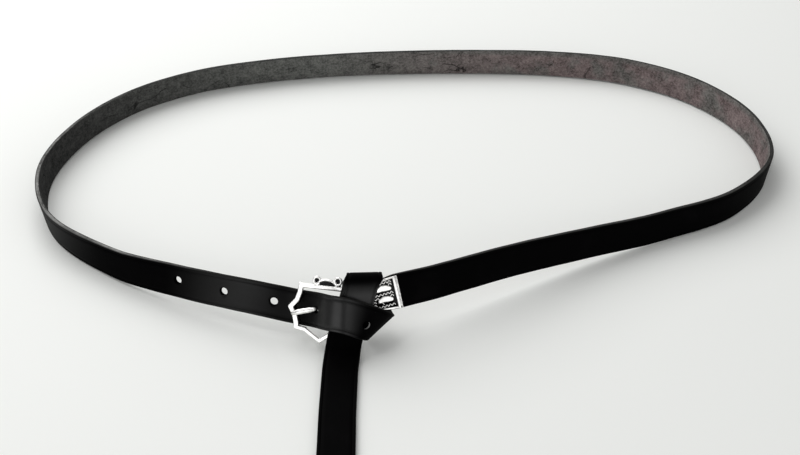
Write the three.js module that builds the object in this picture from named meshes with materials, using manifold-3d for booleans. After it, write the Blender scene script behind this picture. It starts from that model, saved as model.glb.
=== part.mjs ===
// A narrow black leather belt that stands on its edge as a closed waist loop. Its open cast
// buckle is fastened, and the free end is hitched once round the belt and hangs forward, as a
// medieval belt is worn. Millimetres, +Z up, the wearer's front towards -Y.
import * as THREE from 'three';
import * as BufferGeometryUtils from 'three/addons/utils/BufferGeometryUtils.js';
import Module from 'manifold-3d';

const wasm = await Module();
wasm.setup();

// driving dimensions
const STRAP_WIDTH = 16;
const STRAP_THICKNESS = 2.4;
const HALF_THICKNESS = STRAP_THICKNESS / 2;
const SECTION_PITCH = 6;
const HOLE_RADIUS = 2.3;
const HOLE_PITCH = 25;
const HOLE_SIDES = 14;
const HOLE_SHIFT = 1.0;
const CLEARANCE = 0.35;
const CUT_REACH = 5;
const HINGE_REACH = 12;

const BAR_RADIUS = 1.05;
const BAR_JOINT = 1.04;
const BOSS_SIZE = 1.3;
const HINGE_RADIUS = 0.9;
const ROUND_SIDES = 10;

const PLATE_LENGTH = 24.6;
const PLATE_HALF_HEIGHT = 7.6;
const PLATE_INNER_LEVEL = 1.5;
const PLATE_SHEET = 1.0;
const KNUCKLE_INNER = 1.25;
const KNUCKLE_OUTER = 1.85;
const KNUCKLE_TOP = 4.3;
const KNUCKLE_FOOT = -4.7;
const PIN_EYE_HALF_HEIGHT = 1.5;
const PIN_EYE_RADIUS = 1.75;
const PIN_RADIUS = 1.0;
const NECK_OUT = 0.9;

// The punched holes: pitches from the pinned hole along the strap, and how far off its middle.
const HOLE_COLUMNS = ['step', 'across'];
const HOLE_ROWS = [
  [-3.0, 0.8],
  [-2.0, 0.2],
  [-1.0, 0.3],
  [0.0, 0.0],
  [1.06, -1.2],
];

// The strap's fixed end, in the plate's axes: how far along, and half the width there.
const FIXED_END_COLUMNS = ['x', 'halfWidth'];
const FIXED_END_ROWS = [
  [3.8, 6.3],
  [14.0, 6.8],
  [24.0, 8.0],
];

// The waist loop, counterclockwise from the plate to the buckle. x and y are the middle of the
// strap's lower edge, lift is that edge's height above the table, and lean is how many degrees
// the upper edge tips towards the inside of the loop.
const LOOP_COLUMNS = ['x', 'y', 'lift', 'lean'];
const LOOP_ROWS = [
  [15.6, -73.1, 12.3, 21.0],
  [54.9, -51.4, 9.0, 15.9],
  [94.3, -30.2, 3.8, 12.4],
  [135.2, -11.6, 0.6, 10.4],
  [174.8, 9.8, 0.0, 3.3],
  [200.7, 45.3, 0.0, -5.8],
  [200.2, 89.8, 0.0, -8.2],
  [177.4, 128.2, 0.0, -9.2],
  [140.2, 153.1, 0.0, -8.9],
  [96.7, 164.1, 0.0, -2.8],
  [51.8, 167.2, 0.0, 1.1],
  [6.7, 166.8, 0.0, 3.4],
  [-38.2, 163.6, 0.0, 6.2],
  [-82.6, 155.9, 0.0, 6.9],
  [-125.3, 141.7, 0.0, 7.0],
  [-161.4, 115.4, 0.0, 5.2],
  [-184.8, 77.1, 0.0, 0.4],
  [-191.8, 33.0, 0.0, -5.1],
  [-177.1, -9.1, 0.0, -5.7],
  [-144.2, -39.5, 0.4, 5.5],
  [-105.4, -61.9, 4.4, 16.5],
  [-63.9, -79.2, 7.1, 24.5],
];

// The knot, in the knot's own axes: x to the right, y up along the leaning strap, and level out
// towards the wearer's front, counted from the bent middle surface of the belt. Each row is one
// section of the strap, with its low edge first and its high edge second.
const KNOT_COLUMNS = ['lowX', 'lowY', 'lowLevel', 'highX', 'highY', 'highLevel'];
const KNOT_ROWS = [
  // behind the frame's front, then up through the frame to the pin hole
  [-26.8, -9.0, -3.0, -26.6, 7.3, -3.0],
  [-22.0, -9.6, -2.2, -21.4, 6.7, -2.2],
  [-19.0, -9.7, -0.2, -18.0, 6.7, -0.2],
  [-15.6, -9.6, 3.2, -14.1, 6.7, 3.2],
  [-9.8, -9.9, 9.0, -9.0, 6.9, 8.8],
  // over the hinge and over the part of the strap that hangs down
  [-4.2, -10.4, 10.2, -3.3, 6.3, 10.4],
  [0.6, -11.8, 9.2, 2.9, 4.2, 9.2],
  [3.2, -12.9, 8.6, 7.7, 2.3, 8.8],
  // the slanting fold round the belt's lower edge
  [5.4, -13.5, 7.5, 13.0, 0.0, 7.9],
  [7.1, -13.9, 5.0, 16.8, -2.5, 6.0],
  [7.6, -14.1, 1.6, 19.0, -4.1, 1.6],
  [5.9, -13.1, -2.6, 19.0, -3.8, -3.6],
  // up behind the belt
  [4.2, -10.4, -4.4, 17.5, -0.6, -5.6],
  [1.0, -1.4, -4.4, 15.6, 4.3, -5.4],
  [-1.2, 6.9, -4.4, 14.2, 9.5, -5.3],
  // the fold over the belt's upper edge
  [-1.6, 12.6, -3.0, 13.8, 12.9, -3.6],
  [-1.3, 14.5, 1.2, 14.0, 14.2, 0.4],
  [-1.2, 13.8, 5.4, 13.7, 13.3, 4.2],
  // down in front of the plate and the frame, under the part that crosses it
  [-2.2, 11.0, 7.2, 12.3, 10.5, 5.2],
  [-3.6, 7.1, 7.3, 11.5, 6.9, 5.3],
  [-5.9, 0.0, 7.1, 10.0, 0.2, 5.4],
  [-8.3, -7.4, 6.4, 7.7, -7.4, 4.8],
  [-9.9, -13.2, 5.5, 5.7, -13.4, 3.9],
];

// The free end: its two edges, how far forward it has come, and the height of its middle.
const TAIL_COLUMNS = ['leftX', 'rightX', 'y', 'z'];
const TAIL_ROWS = [
  [-33.7, -17.6, -97.9, 3.4],
  [-34.2, -18.1, -102.8, 1.7],
  [-34.5, -18.5, -108.0, 1.2],
  [-34.6, -18.6, -122.0, 1.2],
  [-34.6, -18.6, -137.0, 1.2],
  [-34.3, -18.3, -152.0, 1.2],
  [-34.1, -18.1, -167.0, 1.2],
  [-34.0, -18.0, -180.0, 1.2],
  [-32.6, -19.5, -186.5, 1.2],
  [-28.6, -23.6, -190.5, 1.2],
];
const FIRST_FREE_WIDTH_ROW = 7;

// The knot's axes, the plate's axes and the frame's axes, all met at the hinge.
const KNOT_ORIGIN = new THREE.Vector3(-22.5, -86, 18);
const KNOT_LEAN = THREE.MathUtils.degToRad(30);
const BEND_LEFT = 0.216;
const BEND_RIGHT = 0.35;
const BEND_ROUNDING = 6;

const PLATE_HINGE = new THREE.Vector3(-23.4, -85.9, 18.9);
const PLATE_RECEDE = new THREE.Vector3(0.943, 0.289, -0.167);
const PLATE_TILT = THREE.MathUtils.degToRad(13);
const FRAME_HINGE = new THREE.Vector3(-23.5, -87.3, 15.3);
const FRAME_RECEDE = new THREE.Vector3(0.977, -0.185, 0.107);
const FRAME_TILT = THREE.MathUtils.degToRad(-6.5);

// The buckle's frame, in its own axes: x along the belt (the hinge at 0), y across it.
const FRAME_HALF_HEIGHT = 9.9;
const FRAME_CORNER = [-23.0, 9.9];
const FRAME_TOP_END = [0.0, 10.6];
const FRONT_SIDE = [
  [-23.0, 9.9],
  [-23.4, 6.4],
  [-24.4, 2.9],
  [-27.1, -0.6],
  [-24.9, -4.0],
  [-23.9, -7.2],
  [-23.5, -9.7],
];
const LOWER_SIDE = [
  [-23.5, -9.7],
  [-19.4, -10.2],
  [-11.9, -14.5],
  [-6.4, -9.9],
  [0.0, -9.9],
];
const CURL_MIDDLES = [[-15.8, 13.1], [-6.2, 13.9]];
const CURL_RADIUS = 1.6;
const CURL_WIRE = 0.62;
const ARCH_MIDDLE = [-11.0, 11.3];
const ARCH_HALF_WIDTH = 4.4;
const ARCH_RISE = 2.5;
const ARCH_WIRE = 0.56;
const ARCH_STEPS = 9;
const ORNAMENT_LEVEL = 0.38;
const GROUND_BACK = -0.8;
const GROUND_FRONT = 0.1;
const GROUND_SHRINK = 0.96;
const FOOT_SHARE = 0.8;
const WIRE_SIDES = 8;
const RING_STEPS = 18;

// local axes
function axesFrom(origin, along, tilt) {
  // Right-handed axes at a hinge: along the piece, up across it, and out to the front.
  const up = new THREE.Vector3(0, Math.sin(KNOT_LEAN), Math.cos(KNOT_LEAN));
  const flat = along.clone().addScaledVector(up, -along.dot(up)).normalize();
  const tiltedAlong = flat.clone().multiplyScalar(Math.cos(tilt)).addScaledVector(up, Math.sin(tilt));
  const tiltedUp = flat.clone().multiplyScalar(-Math.sin(tilt)).addScaledVector(up, Math.cos(tilt));
  const out = new THREE.Vector3().crossVectors(tiltedAlong, tiltedUp).normalize();
  const matrix = new THREE.Matrix4().makeBasis(tiltedAlong, tiltedUp, out);
  matrix.setPosition(origin);
  return matrix;
}

const KNOT_AXES = axesFrom(KNOT_ORIGIN, new THREE.Vector3(1, 0, 0), 0);
const PLATE_AXES = axesFrom(PLATE_HINGE, PLATE_RECEDE, PLATE_TILT);
const FRAME_AXES = axesFrom(FRAME_HINGE, FRAME_RECEDE, FRAME_TILT);

function bentDepth(x) {
  // Depth of the belt's middle surface at the knot: two slopes that meet in a rounded bend.
  const even = (BEND_LEFT + BEND_RIGHT) / 2;
  const skew = (BEND_RIGHT - BEND_LEFT) / 2;
  return -(even * Math.hypot(x, BEND_ROUNDING) + skew * x);
}

function knotPoint(x, y, level) {
  return new THREE.Vector3(x, y, level + bentDepth(x)).applyMatrix4(KNOT_AXES);
}

function named(columns, row) {
  return Object.fromEntries(columns.map((name, index) => [name, row[index]]));
}

// the strap's sections
function fixedEndStations() {
  // The strap's fixed end is trimmed a little narrower, to lie between the plate's two sheets.
  return FIXED_END_ROWS.map((values) => {
    const row = named(FIXED_END_COLUMNS, values);
    const low = new THREE.Vector3(row.x, -row.halfWidth, 0).applyMatrix4(PLATE_AXES);
    const high = new THREE.Vector3(row.x, row.halfWidth, 0).applyMatrix4(PLATE_AXES);
    return { low, high, freeWidth: row.halfWidth < STRAP_WIDTH / 2 };
  });
}

function loopStations() {
  const rows = LOOP_ROWS.map((row) => named(LOOP_COLUMNS, row));
  return rows.map((row, index) => {
    const before = rows[Math.max(index - 1, 0)];
    const after = rows[Math.min(index + 1, rows.length - 1)];
    const heading = Math.atan2(after.y - before.y, after.x - before.x);
    const outward = new THREE.Vector3(Math.sin(heading), -Math.cos(heading), 0);
    const lean = THREE.MathUtils.degToRad(row.lean);
    const up = new THREE.Vector3(0, 0, Math.cos(lean)).addScaledVector(outward, -Math.sin(lean));
    const cornerDrop = HALF_THICKNESS * Math.abs(Math.sin(lean));
    const low = new THREE.Vector3(row.x, row.y, Math.max(row.lift, cornerDrop));
    const high = low.clone().addScaledVector(up, STRAP_WIDTH);
    return { low, high };
  });
}

function knotStations() {
  return KNOT_ROWS.map((values) => {
    const row = named(KNOT_COLUMNS, values);
    return {
      low: knotPoint(row.lowX, row.lowY, row.lowLevel),
      high: knotPoint(row.highX, row.highY, row.highLevel),
    };
  });
}

function tailStations() {
  return TAIL_ROWS.map((values, index) => {
    const row = named(TAIL_COLUMNS, values);
    return {
      low: new THREE.Vector3(row.leftX, row.y, row.z),
      high: new THREE.Vector3(row.rightX, row.y, row.z),
      freeWidth: index > FIRST_FREE_WIDTH_ROW,
    };
  });
}

const STATIONS = [
  ...fixedEndStations(),
  ...loopStations(),
  ...knotStations(),
  ...tailStations(),
];

function strapSections() {
  // Sections a few millimetres apart: both edges are splines through the stations.
  const last = STATIONS.length - 1;
  const lowCurve = new THREE.CatmullRomCurve3(STATIONS.map((station) => station.low));
  const highCurve = new THREE.CatmullRomCurve3(STATIONS.map((station) => station.high));
  const sections = [];
  for (let index = 0; index < last; index += 1) {
    const here = STATIONS[index];
    const next = STATIONS[index + 1];
    const gap = here.low.distanceTo(next.low) / 2 + here.high.distanceTo(next.high) / 2;
    const steps = Math.max(2, Math.ceil(gap / SECTION_PITCH));
    for (let step = 0; step < steps; step += 1) {
      const along = (index + step / steps) / last;
      const freeWidth = Boolean(here.freeWidth || next.freeWidth);
      sections.push({ low: lowCurve.getPoint(along), high: highCurve.getPoint(along), freeWidth });
    }
  }
  sections.push({ low: STATIONS[last].low.clone(), high: STATIONS[last].high.clone(), freeWidth: true });
  for (const section of sections) {
    section.low.z = Math.max(section.low.z, HALF_THICKNESS);
    section.high.z = Math.max(section.high.z, HALF_THICKNESS);
  }
  return sections;
}

function finishSections(sections) {
  // Gives every section the strap's true width, its centre, its direction and its normal.
  const centres = sections.map((section) => section.low.clone().lerp(section.high, 0.5));
  sections.forEach((section, index) => {
    const before = centres[Math.max(index - 1, 0)];
    const after = centres[Math.min(index + 1, centres.length - 1)];
    const tangent = after.clone().sub(before).normalize();
    const across = section.high.clone().sub(section.low);
    const square = across.clone().addScaledVector(tangent, -across.dot(tangent)).length();
    if (!section.freeWidth) across.multiplyScalar(STRAP_WIDTH / square);
    section.centre = centres[index];
    section.tangent = tangent;
    section.low = centres[index].clone().addScaledVector(across, -0.5);
    section.high = centres[index].clone().addScaledVector(across, 0.5);
    section.normal = new THREE.Vector3().crossVectors(tangent, across).normalize();
  });
  let distance = 0;
  sections.forEach((section, index) => {
    if (index > 0) distance += section.centre.distanceTo(sections[index - 1].centre);
    section.distance = distance;
  });
  return sections;
}

function ribbonGeometry(sections) {
  // A closed band with four corners at every section and a flat cap at both ends.
  const positions = [];
  for (const section of sections) {
    for (const [edge, side] of [['low', 1], ['high', 1], ['high', -1], ['low', -1]]) {
      const corner = section[edge].clone().addScaledVector(section.normal, side * HALF_THICKNESS);
      positions.push(corner.x, corner.y, corner.z);
    }
  }
  const faces = [];
  const quad = (a, b, c, d) => faces.push(a, c, b, a, d, c);
  for (let index = 0; index < sections.length - 1; index += 1) {
    const here = index * 4;
    const next = here + 4;
    for (let corner = 0; corner < 4; corner += 1) {
      const other = (corner + 1) % 4;
      quad(here + corner, here + other, next + other, next + corner);
    }
  }
  const end = (sections.length - 1) * 4;
  quad(3, 2, 1, 0);
  quad(end, end + 1, end + 2, end + 3);
  const geometry = new THREE.BufferGeometry();
  geometry.setAttribute('position', new THREE.Float32BufferAttribute(positions, 3));
  geometry.setIndex(faces);
  return geometry;
}

// solids
function solidOf(geometry) {
  const bare = geometry.clone();
  bare.deleteAttribute('normal');
  bare.deleteAttribute('uv');
  const merged = BufferGeometryUtils.mergeVertices(bare, 1e-4);
  const index = merged.index ?? BufferGeometryUtils.mergeVertices(bare.toNonIndexed(), 1e-4).index;
  return new wasm.Manifold(new wasm.Mesh({
    numProp: 3,
    vertProperties: new Float32Array(merged.attributes.position.array),
    triVerts: new Uint32Array(index.array),
  }));
}

function geometryOf(solid) {
  const mesh = solid.getMesh();
  const geometry = new THREE.BufferGeometry();
  geometry.setAttribute('position', new THREE.BufferAttribute(new Float32Array(mesh.vertProperties), 3));
  geometry.setIndex(new THREE.BufferAttribute(new Uint32Array(mesh.triVerts), 1));
  geometry.computeVertexNormals();
  return geometry;
}

function union(solids) {
  return solids.reduce((whole, solid) => whole.add(solid));
}

function rod(from, to, radiusFrom, radiusTo = radiusFrom, sides = ROUND_SIDES) {
  const start = new THREE.Vector3(...from);
  const finish = new THREE.Vector3(...to);
  const length = start.distanceTo(finish);
  const geometry = new THREE.CylinderGeometry(radiusTo, radiusFrom, length, sides);
  const turn = new THREE.Quaternion().setFromUnitVectors(
    new THREE.Vector3(0, 1, 0),
    finish.clone().sub(start).normalize(),
  );
  geometry.applyQuaternion(turn);
  geometry.translate(...start.add(finish).multiplyScalar(0.5).toArray());
  return solidOf(geometry);
}

function ball(centre, radius) {
  const geometry = new THREE.IcosahedronGeometry(radius, 1);
  geometry.translate(...centre);
  return solidOf(geometry);
}

function chain(points, radius) {
  // Round bars from point to point with a ball at every joint.
  const pieces = points.map((point) => ball([...point, 0], radius * BAR_JOINT));
  for (let index = 0; index < points.length - 1; index += 1) {
    pieces.push(rod([...points[index], 0], [...points[index + 1], 0], radius));
  }
  return union(pieces);
}

function slab(corners, low, high) {
  const shape = new THREE.Shape(corners.map(([x, y]) => new THREE.Vector2(x, y)));
  const geometry = new THREE.ExtrudeGeometry(shape, { depth: high - low, bevelEnabled: false });
  geometry.translate(0, 0, low);
  return solidOf(geometry);
}

function box(x0, x1, y0, y1, low, high) {
  return slab([[x0, y0], [x1, y0], [x1, y1], [x0, y1]], low, high);
}

function archPoint(step, shrink) {
  // A point of the half-round arch over the frame's upper bar; its feet are steps 0 and ARCH_STEPS.
  const angle = Math.PI * step / ARCH_STEPS;
  const x = ARCH_MIDDLE[0] + ARCH_HALF_WIDTH * shrink * Math.cos(angle);
  return [x, ARCH_MIDDLE[1] + ARCH_RISE * shrink * Math.sin(angle)];
}

function archWire() {
  // A round wire bent over the frame's upper bar.
  const pieces = [];
  for (let step = 0; step <= ARCH_STEPS; step += 1) {
    const here = [...archPoint(step, 1), ORNAMENT_LEVEL];
    pieces.push(ball(here, ARCH_WIRE));
    if (step > 0) {
      const before = [...archPoint(step - 1, 1), ORNAMENT_LEVEL];
      pieces.push(rod(before, here, ARCH_WIRE, ARCH_WIRE, WIRE_SIDES));
    }
  }
  return union(pieces);
}

function archGround() {
  // The thin sunk ground under the arch, down to the upper bar.
  const corners = [];
  for (let step = 0; step <= ARCH_STEPS; step += 1) corners.push(archPoint(step, GROUND_SHRINK));
  corners.push([ARCH_MIDDLE[0] - ARCH_HALF_WIDTH * GROUND_SHRINK, FRAME_HALF_HEIGHT]);
  corners.push([ARCH_MIDDLE[0] + ARCH_HALF_WIDTH * GROUND_SHRINK, FRAME_HALF_HEIGHT]);
  return slab(corners, GROUND_BACK, GROUND_FRONT);
}

function curl([x, y]) {
  // One curled end: a ring of round wire round a sunk ground that reaches down to the upper bar.
  const ring = new THREE.TorusGeometry(CURL_RADIUS, CURL_WIRE, WIRE_SIDES, RING_STEPS);
  ring.translate(x, y, ORNAMENT_LEVEL);
  const disc = rod([x, y, GROUND_BACK], [x, y, GROUND_FRONT], CURL_RADIUS, CURL_RADIUS, RING_STEPS);
  const half = CURL_RADIUS * FOOT_SHARE;
  const foot = box(x - half, x + half, FRAME_HALF_HEIGHT, y, GROUND_BACK, GROUND_FRONT);
  return union([solidOf(ring), disc, foot]);
}

// buckle frame
const UPPER_SIDE = [FRAME_CORNER, FRAME_TOP_END];

function frameSolid() {
  const front = chain(FRONT_SIDE, BAR_RADIUS);
  const lower = chain(LOWER_SIDE, BAR_RADIUS);
  const upper = chain(UPPER_SIDE, BAR_RADIUS);
  const hinge = rod([0, -FRAME_HALF_HEIGHT, 0], [...FRAME_TOP_END, 0], HINGE_RADIUS);
  const cornerBoss = ball([...FRAME_CORNER, 0], BAR_RADIUS * BOSS_SIZE);
  const ornament = [...CURL_MIDDLES.map(curl), archWire(), archGround()];
  return union([front, lower, upper, hinge, cornerBoss, ...ornament]);
}

// the hinge bar's axis, in the plate's axes
const FRAME_TO_PLATE = PLATE_AXES.clone().invert().multiply(FRAME_AXES);
const HINGE_TOP = new THREE.Vector3(0, FRAME_HALF_HEIGHT, 0).applyMatrix4(FRAME_TO_PLATE);
const HINGE_FOOT = new THREE.Vector3(0, -FRAME_HALF_HEIGHT, 0).applyMatrix4(FRAME_TO_PLATE);

function hingePoint(y) {
  // The point of the hinge bar's axis at height y of the plate.
  const share = (y - HINGE_FOOT.y) / (HINGE_TOP.y - HINGE_FOOT.y);
  const point = HINGE_FOOT.clone().lerp(HINGE_TOP, share);
  return [point.x, point.y, point.z];
}

// buckle plate
const PLATE_FRONT = PLATE_INNER_LEVEL + PLATE_SHEET;
const PLATE_START = 4.6;
const UPPER_TAPER = 0.7;
const LOWER_TAPER = 1.9;
const FLANGE_START = PLATE_LENGTH - 1.1;
const RIDGE_START = PLATE_LENGTH - 2.4;
const RIVET_X = 9.5;
const STRAP_START = 3.4;
const WEB_INSET = 0.6;
const RIVET_RADIUS = 0.9;
const RIVET_PROUD = 0.1;
const SHOULDER_X = 9;
const RIM_ROOT = 2.2;
const RIDGE_LEVEL = 3.2;
const RIM_START = 12;
const LOWER_RIM_WIDTH = 1.2;
const UPPER_RIM_WIDTH = 0.8;
const RIM_LEVEL = 2.95;
const LEAF_SINK = 0.25;

function edgeHeight(x, taper) {
  // Half the plate's height at x; the plate widens evenly from the shoulder to the far end.
  return PLATE_HALF_HEIGHT - taper * (PLATE_LENGTH - x) / (PLATE_LENGTH - SHOULDER_X);
}

function sheetCorners() {
  return [
    [PLATE_START, KNUCKLE_FOOT],
    [SHOULDER_X, -edgeHeight(SHOULDER_X, LOWER_TAPER)],
    [PLATE_LENGTH, -PLATE_HALF_HEIGHT],
    [PLATE_LENGTH, PLATE_HALF_HEIGHT],
    [SHOULDER_X, edgeHeight(SHOULDER_X, UPPER_TAPER)],
    [PLATE_START, KNUCKLE_TOP],
  ];
}

function stroke(points) {
  // One plump raised leaf of the plate's pattern: thick in the middle, thin at both tips.
  const level = PLATE_FRONT - LEAF_SINK;
  const pieces = [];
  points.forEach(([x, y, radius], index) => {
    pieces.push(ball([x, y, level], radius));
    if (index > 0) {
      const [fromX, fromY, fromRadius] = points[index - 1];
      pieces.push(rod([fromX, fromY, level], [x, y, level], fromRadius, radius));
    }
  });
  return union(pieces);
}

const LEAF_UPPER = [
  [13.6, 2.3, 0.75],
  [14.6, 3.9, 1.15],
  [17.7, 3.7, 1.25],
  [20.2, 3.3, 1.1],
  [20.7, 1.9, 0.7],
];
const LEAF_DROP = -5.1;

function ridge(extra) {
  // The upright ridge across the plate's far end.
  const top = PLATE_HALF_HEIGHT + extra;
  return box(RIDGE_START - extra, FLANGE_START + extra, -top, top, RIM_ROOT, RIDGE_LEVEL + extra);
}

function lowerRim(extra) {
  // The raised border along the plate's lower edge.
  const near = -edgeHeight(RIM_START, LOWER_TAPER);
  const far = -edgeHeight(FLANGE_START, LOWER_TAPER);
  const inner = LOWER_RIM_WIDTH + extra;
  const corners = [
    [RIM_START, near - extra],
    [FLANGE_START, far - extra],
    [FLANGE_START, far + inner],
    [RIM_START, near + inner],
  ];
  return slab(corners, RIM_ROOT, RIM_LEVEL + extra);
}

function upperRim(extra) {
  // The narrower border along its upper edge.
  const near = edgeHeight(RIM_START, UPPER_TAPER);
  const far = edgeHeight(FLANGE_START, UPPER_TAPER);
  const inner = UPPER_RIM_WIDTH + extra;
  const corners = [
    [RIM_START, near - inner],
    [FLANGE_START, far - inner],
    [FLANGE_START, far + extra],
    [RIM_START, near + extra],
  ];
  return slab(corners, RIM_ROOT, RIM_LEVEL + extra);
}

function knuckles(extra) {
  // The two rolled tubes round the hinge bar, with the webs that join them to the sheets.
  const spans = [
    [PIN_EYE_HALF_HEIGHT + CLEARANCE, KNUCKLE_TOP],
    [KNUCKLE_FOOT, -PIN_EYE_HALF_HEIGHT - CLEARANCE],
  ];
  const radius = KNUCKLE_OUTER + extra;
  const pieces = spans.map(([from, to]) => {
    const middle = hingePoint((from + to) / 2);
    const low = from + WEB_INSET - extra;
    const high = to - WEB_INSET + extra;
    const web = box(middle[0] - extra, PLATE_START, low, high, -radius, radius);
    return rod(hingePoint(from - extra), hingePoint(to + extra), radius).add(web);
  });
  return union(pieces);
}

function sheet(side, extra) {
  // The front sheet (side 1) or the back sheet (side -1), grown outwards by extra.
  const corners = sheetCorners().map(([x, y]) => [x, y + Math.sign(y) * extra]);
  const outer = PLATE_FRONT + extra;
  return side > 0 ? slab(corners, PLATE_INNER_LEVEL, outer) : slab(corners, -outer, -PLATE_INNER_LEVEL);
}

function plateSolid() {
  const front = sheet(1, 0);
  const back = sheet(-1, 0);
  const leaves = [
    stroke(LEAF_UPPER),
    stroke(LEAF_UPPER.map(([x, y, radius]) => [x, y + LEAF_DROP, radius])),
  ];
  const barRoom = rod(hingePoint(-HINGE_REACH), hingePoint(HINGE_REACH), KNUCKLE_INNER);
  const strapEnd = PLATE_LENGTH + CLEARANCE;
  const strapRoom = box(STRAP_START, strapEnd, -STRAP_WIDTH, STRAP_WIDTH, -PLATE_INNER_LEVEL, PLATE_INNER_LEVEL);
  const rivetRoom = rod([RIVET_X, 0, -CUT_REACH], [RIVET_X, 0, CUT_REACH], RIVET_RADIUS + CLEARANCE);
  return union([front, back, ridge(0), lowerRim(0), upperRim(0), ...leaves, knuckles(0)])
    .subtract(barRoom)
    .subtract(strapRoom)
    .subtract(rivetRoom);
}

function rivetSolid() {
  // Filed almost flush on both faces, because the strap lies over it.
  const end = PLATE_FRONT + RIVET_PROUD;
  return rod([RIVET_X, 0, -end], [RIVET_X, 0, end], RIVET_RADIUS);
}

// buckle pin
// The pin's middle line in the frame's axes with its thickness, from the eye to the tip.
const PIN_COLUMNS = ['x', 'y', 'level', 'radius'];
const PIN_ROWS = [
  [-3.4, 3.9, 1.7, 0.9],
  [-8.0, 2.5, 2.2, 0.9],
  [-13.2, 0.8, 2.6, 0.85],
  [-17.8, -0.6, 2.95, 1.35],
  [-20.4, -1.4, 3.0, 1.25],
  [-22.6, -2.2, 2.9, 1.3],
  [-24.9, -3.1, 2.35, 0.95],
];
const PIN_HOLE_ROW = 2;

function pinShank(extra) {
  const rows = PIN_ROWS.map((row) => named(PIN_COLUMNS, row));
  const pieces = rows.map((row) => ball([row.x, row.y, row.level], row.radius + extra));
  for (let index = 1; index < rows.length; index += 1) {
    const from = rows[index - 1];
    const to = rows[index];
    const start = [from.x, from.y, from.level];
    pieces.push(rod(start, [to.x, to.y, to.level], from.radius + extra, to.radius + extra));
  }
  return union(pieces).transform(FRAME_AXES.toArray());
}

function pinSolid() {
  const toTable = (y) => new THREE.Vector3(...hingePoint(y)).applyMatrix4(PLATE_AXES).toArray();
  const eye = rod(toTable(-PIN_EYE_HALF_HEIGHT), toTable(PIN_EYE_HALF_HEIGHT), PIN_EYE_RADIUS);
  const room = rod(toTable(-KNUCKLE_TOP), toTable(KNUCKLE_TOP), KNUCKLE_INNER);
  const first = named(PIN_COLUMNS, PIN_ROWS[0]);
  const neckStart = new THREE.Vector3(...hingePoint(0)).applyMatrix4(PLATE_AXES);
  const neckOut = new THREE.Vector3(0, 0, 1).transformDirection(PLATE_AXES).multiplyScalar(NECK_OUT);
  const neckEnd = new THREE.Vector3(first.x, first.y, first.level).applyMatrix4(FRAME_AXES);
  const neck = rod(neckStart.add(neckOut).toArray(), neckEnd.toArray(), PIN_RADIUS, first.radius);
  return union([eye, neck, pinShank(0)]).subtract(room);
}

// strap with its holes
function sectionAt(sections, distance) {
  // The strap's centre, normal and direction across at a distance along it.
  const next = sections.findIndex((section) => section.distance > distance);
  const here = sections[next - 1];
  const after = sections[next];
  const share = (distance - here.distance) / (after.distance - here.distance);
  return {
    centre: here.centre.clone().lerp(after.centre, share),
    normal: here.normal.clone().lerp(after.normal, share).normalize(),
    across: here.high.clone().sub(here.low).normalize(),
  };
}

function holeCutter(section, across) {
  const middle = section.centre.clone().addScaledVector(section.across, across);
  const from = middle.clone().addScaledVector(section.normal, -STRAP_THICKNESS);
  const to = middle.clone().addScaledVector(section.normal, STRAP_THICKNESS);
  return rod(from.toArray(), to.toArray(), HOLE_RADIUS, HOLE_RADIUS, HOLE_SIDES);
}

function pinHoleDistance(sections) {
  // The pin goes through the strap near the edge of its hole, which the pull draws it to.
  const row = named(PIN_COLUMNS, PIN_ROWS[PIN_HOLE_ROW]);
  const crossing = new THREE.Vector3(row.x, row.y, row.level).applyMatrix4(FRAME_AXES);
  let best = sections[0];
  for (const section of sections) {
    if (section.centre.distanceTo(crossing) < best.centre.distanceTo(crossing)) best = section;
  }
  return best.distance + HOLE_SHIFT;
}

function metalRoom() {
  // The leather gives way where the frame's bars and the plate's front press on it.
  const bars = [FRONT_SIDE, LOWER_SIDE, UPPER_SIDE].map((side) => chain(side, BAR_RADIUS + CLEARANCE));
  const sheets = [sheet(1, CLEARANCE), sheet(-1, CLEARANCE)];
  const rims = [lowerRim(CLEARANCE), upperRim(CLEARANCE), ridge(CLEARANCE)];
  const plate = union([...sheets, ...rims, knuckles(CLEARANCE)]).transform(PLATE_AXES.toArray());
  return union(bars).transform(FRAME_AXES.toArray()).add(plate);
}

function strapSolid() {
  const sections = finishSections(strapSections());
  const pinned = pinHoleDistance(sections);
  let strap = solidOf(ribbonGeometry(sections));
  for (const values of HOLE_ROWS) {
    const hole = named(HOLE_COLUMNS, values);
    const section = sectionAt(sections, pinned + hole.step * HOLE_PITCH);
    strap = strap.subtract(holeCutter(section, hole.across));
  }
  strap = strap.subtract(pinShank(CLEARANCE)).subtract(metalRoom());
  const rivetRoom = rod([RIVET_X, 0, -CUT_REACH], [RIVET_X, 0, CUT_REACH], RIVET_RADIUS + CLEARANCE);
  return strap.subtract(rivetRoom.transform(PLATE_AXES.toArray()));
}

// the assembly
const LEATHER = { color: 0x141314, roughness: 0.55, metalness: 0.0 };
const SILVER = { color: 0xc9c8c4, roughness: 0.28, metalness: 1.0 };

const PIECES = [
  ['strap', strapSolid(), LEATHER],
  ['buckle_frame', frameSolid().transform(FRAME_AXES.toArray()), SILVER],
  ['buckle_pin', pinSolid(), SILVER],
  ['buckle_plate', plateSolid().transform(PLATE_AXES.toArray()), SILVER],
  ['plate_rivet', rivetSolid().transform(PLATE_AXES.toArray()), SILVER],
];

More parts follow.
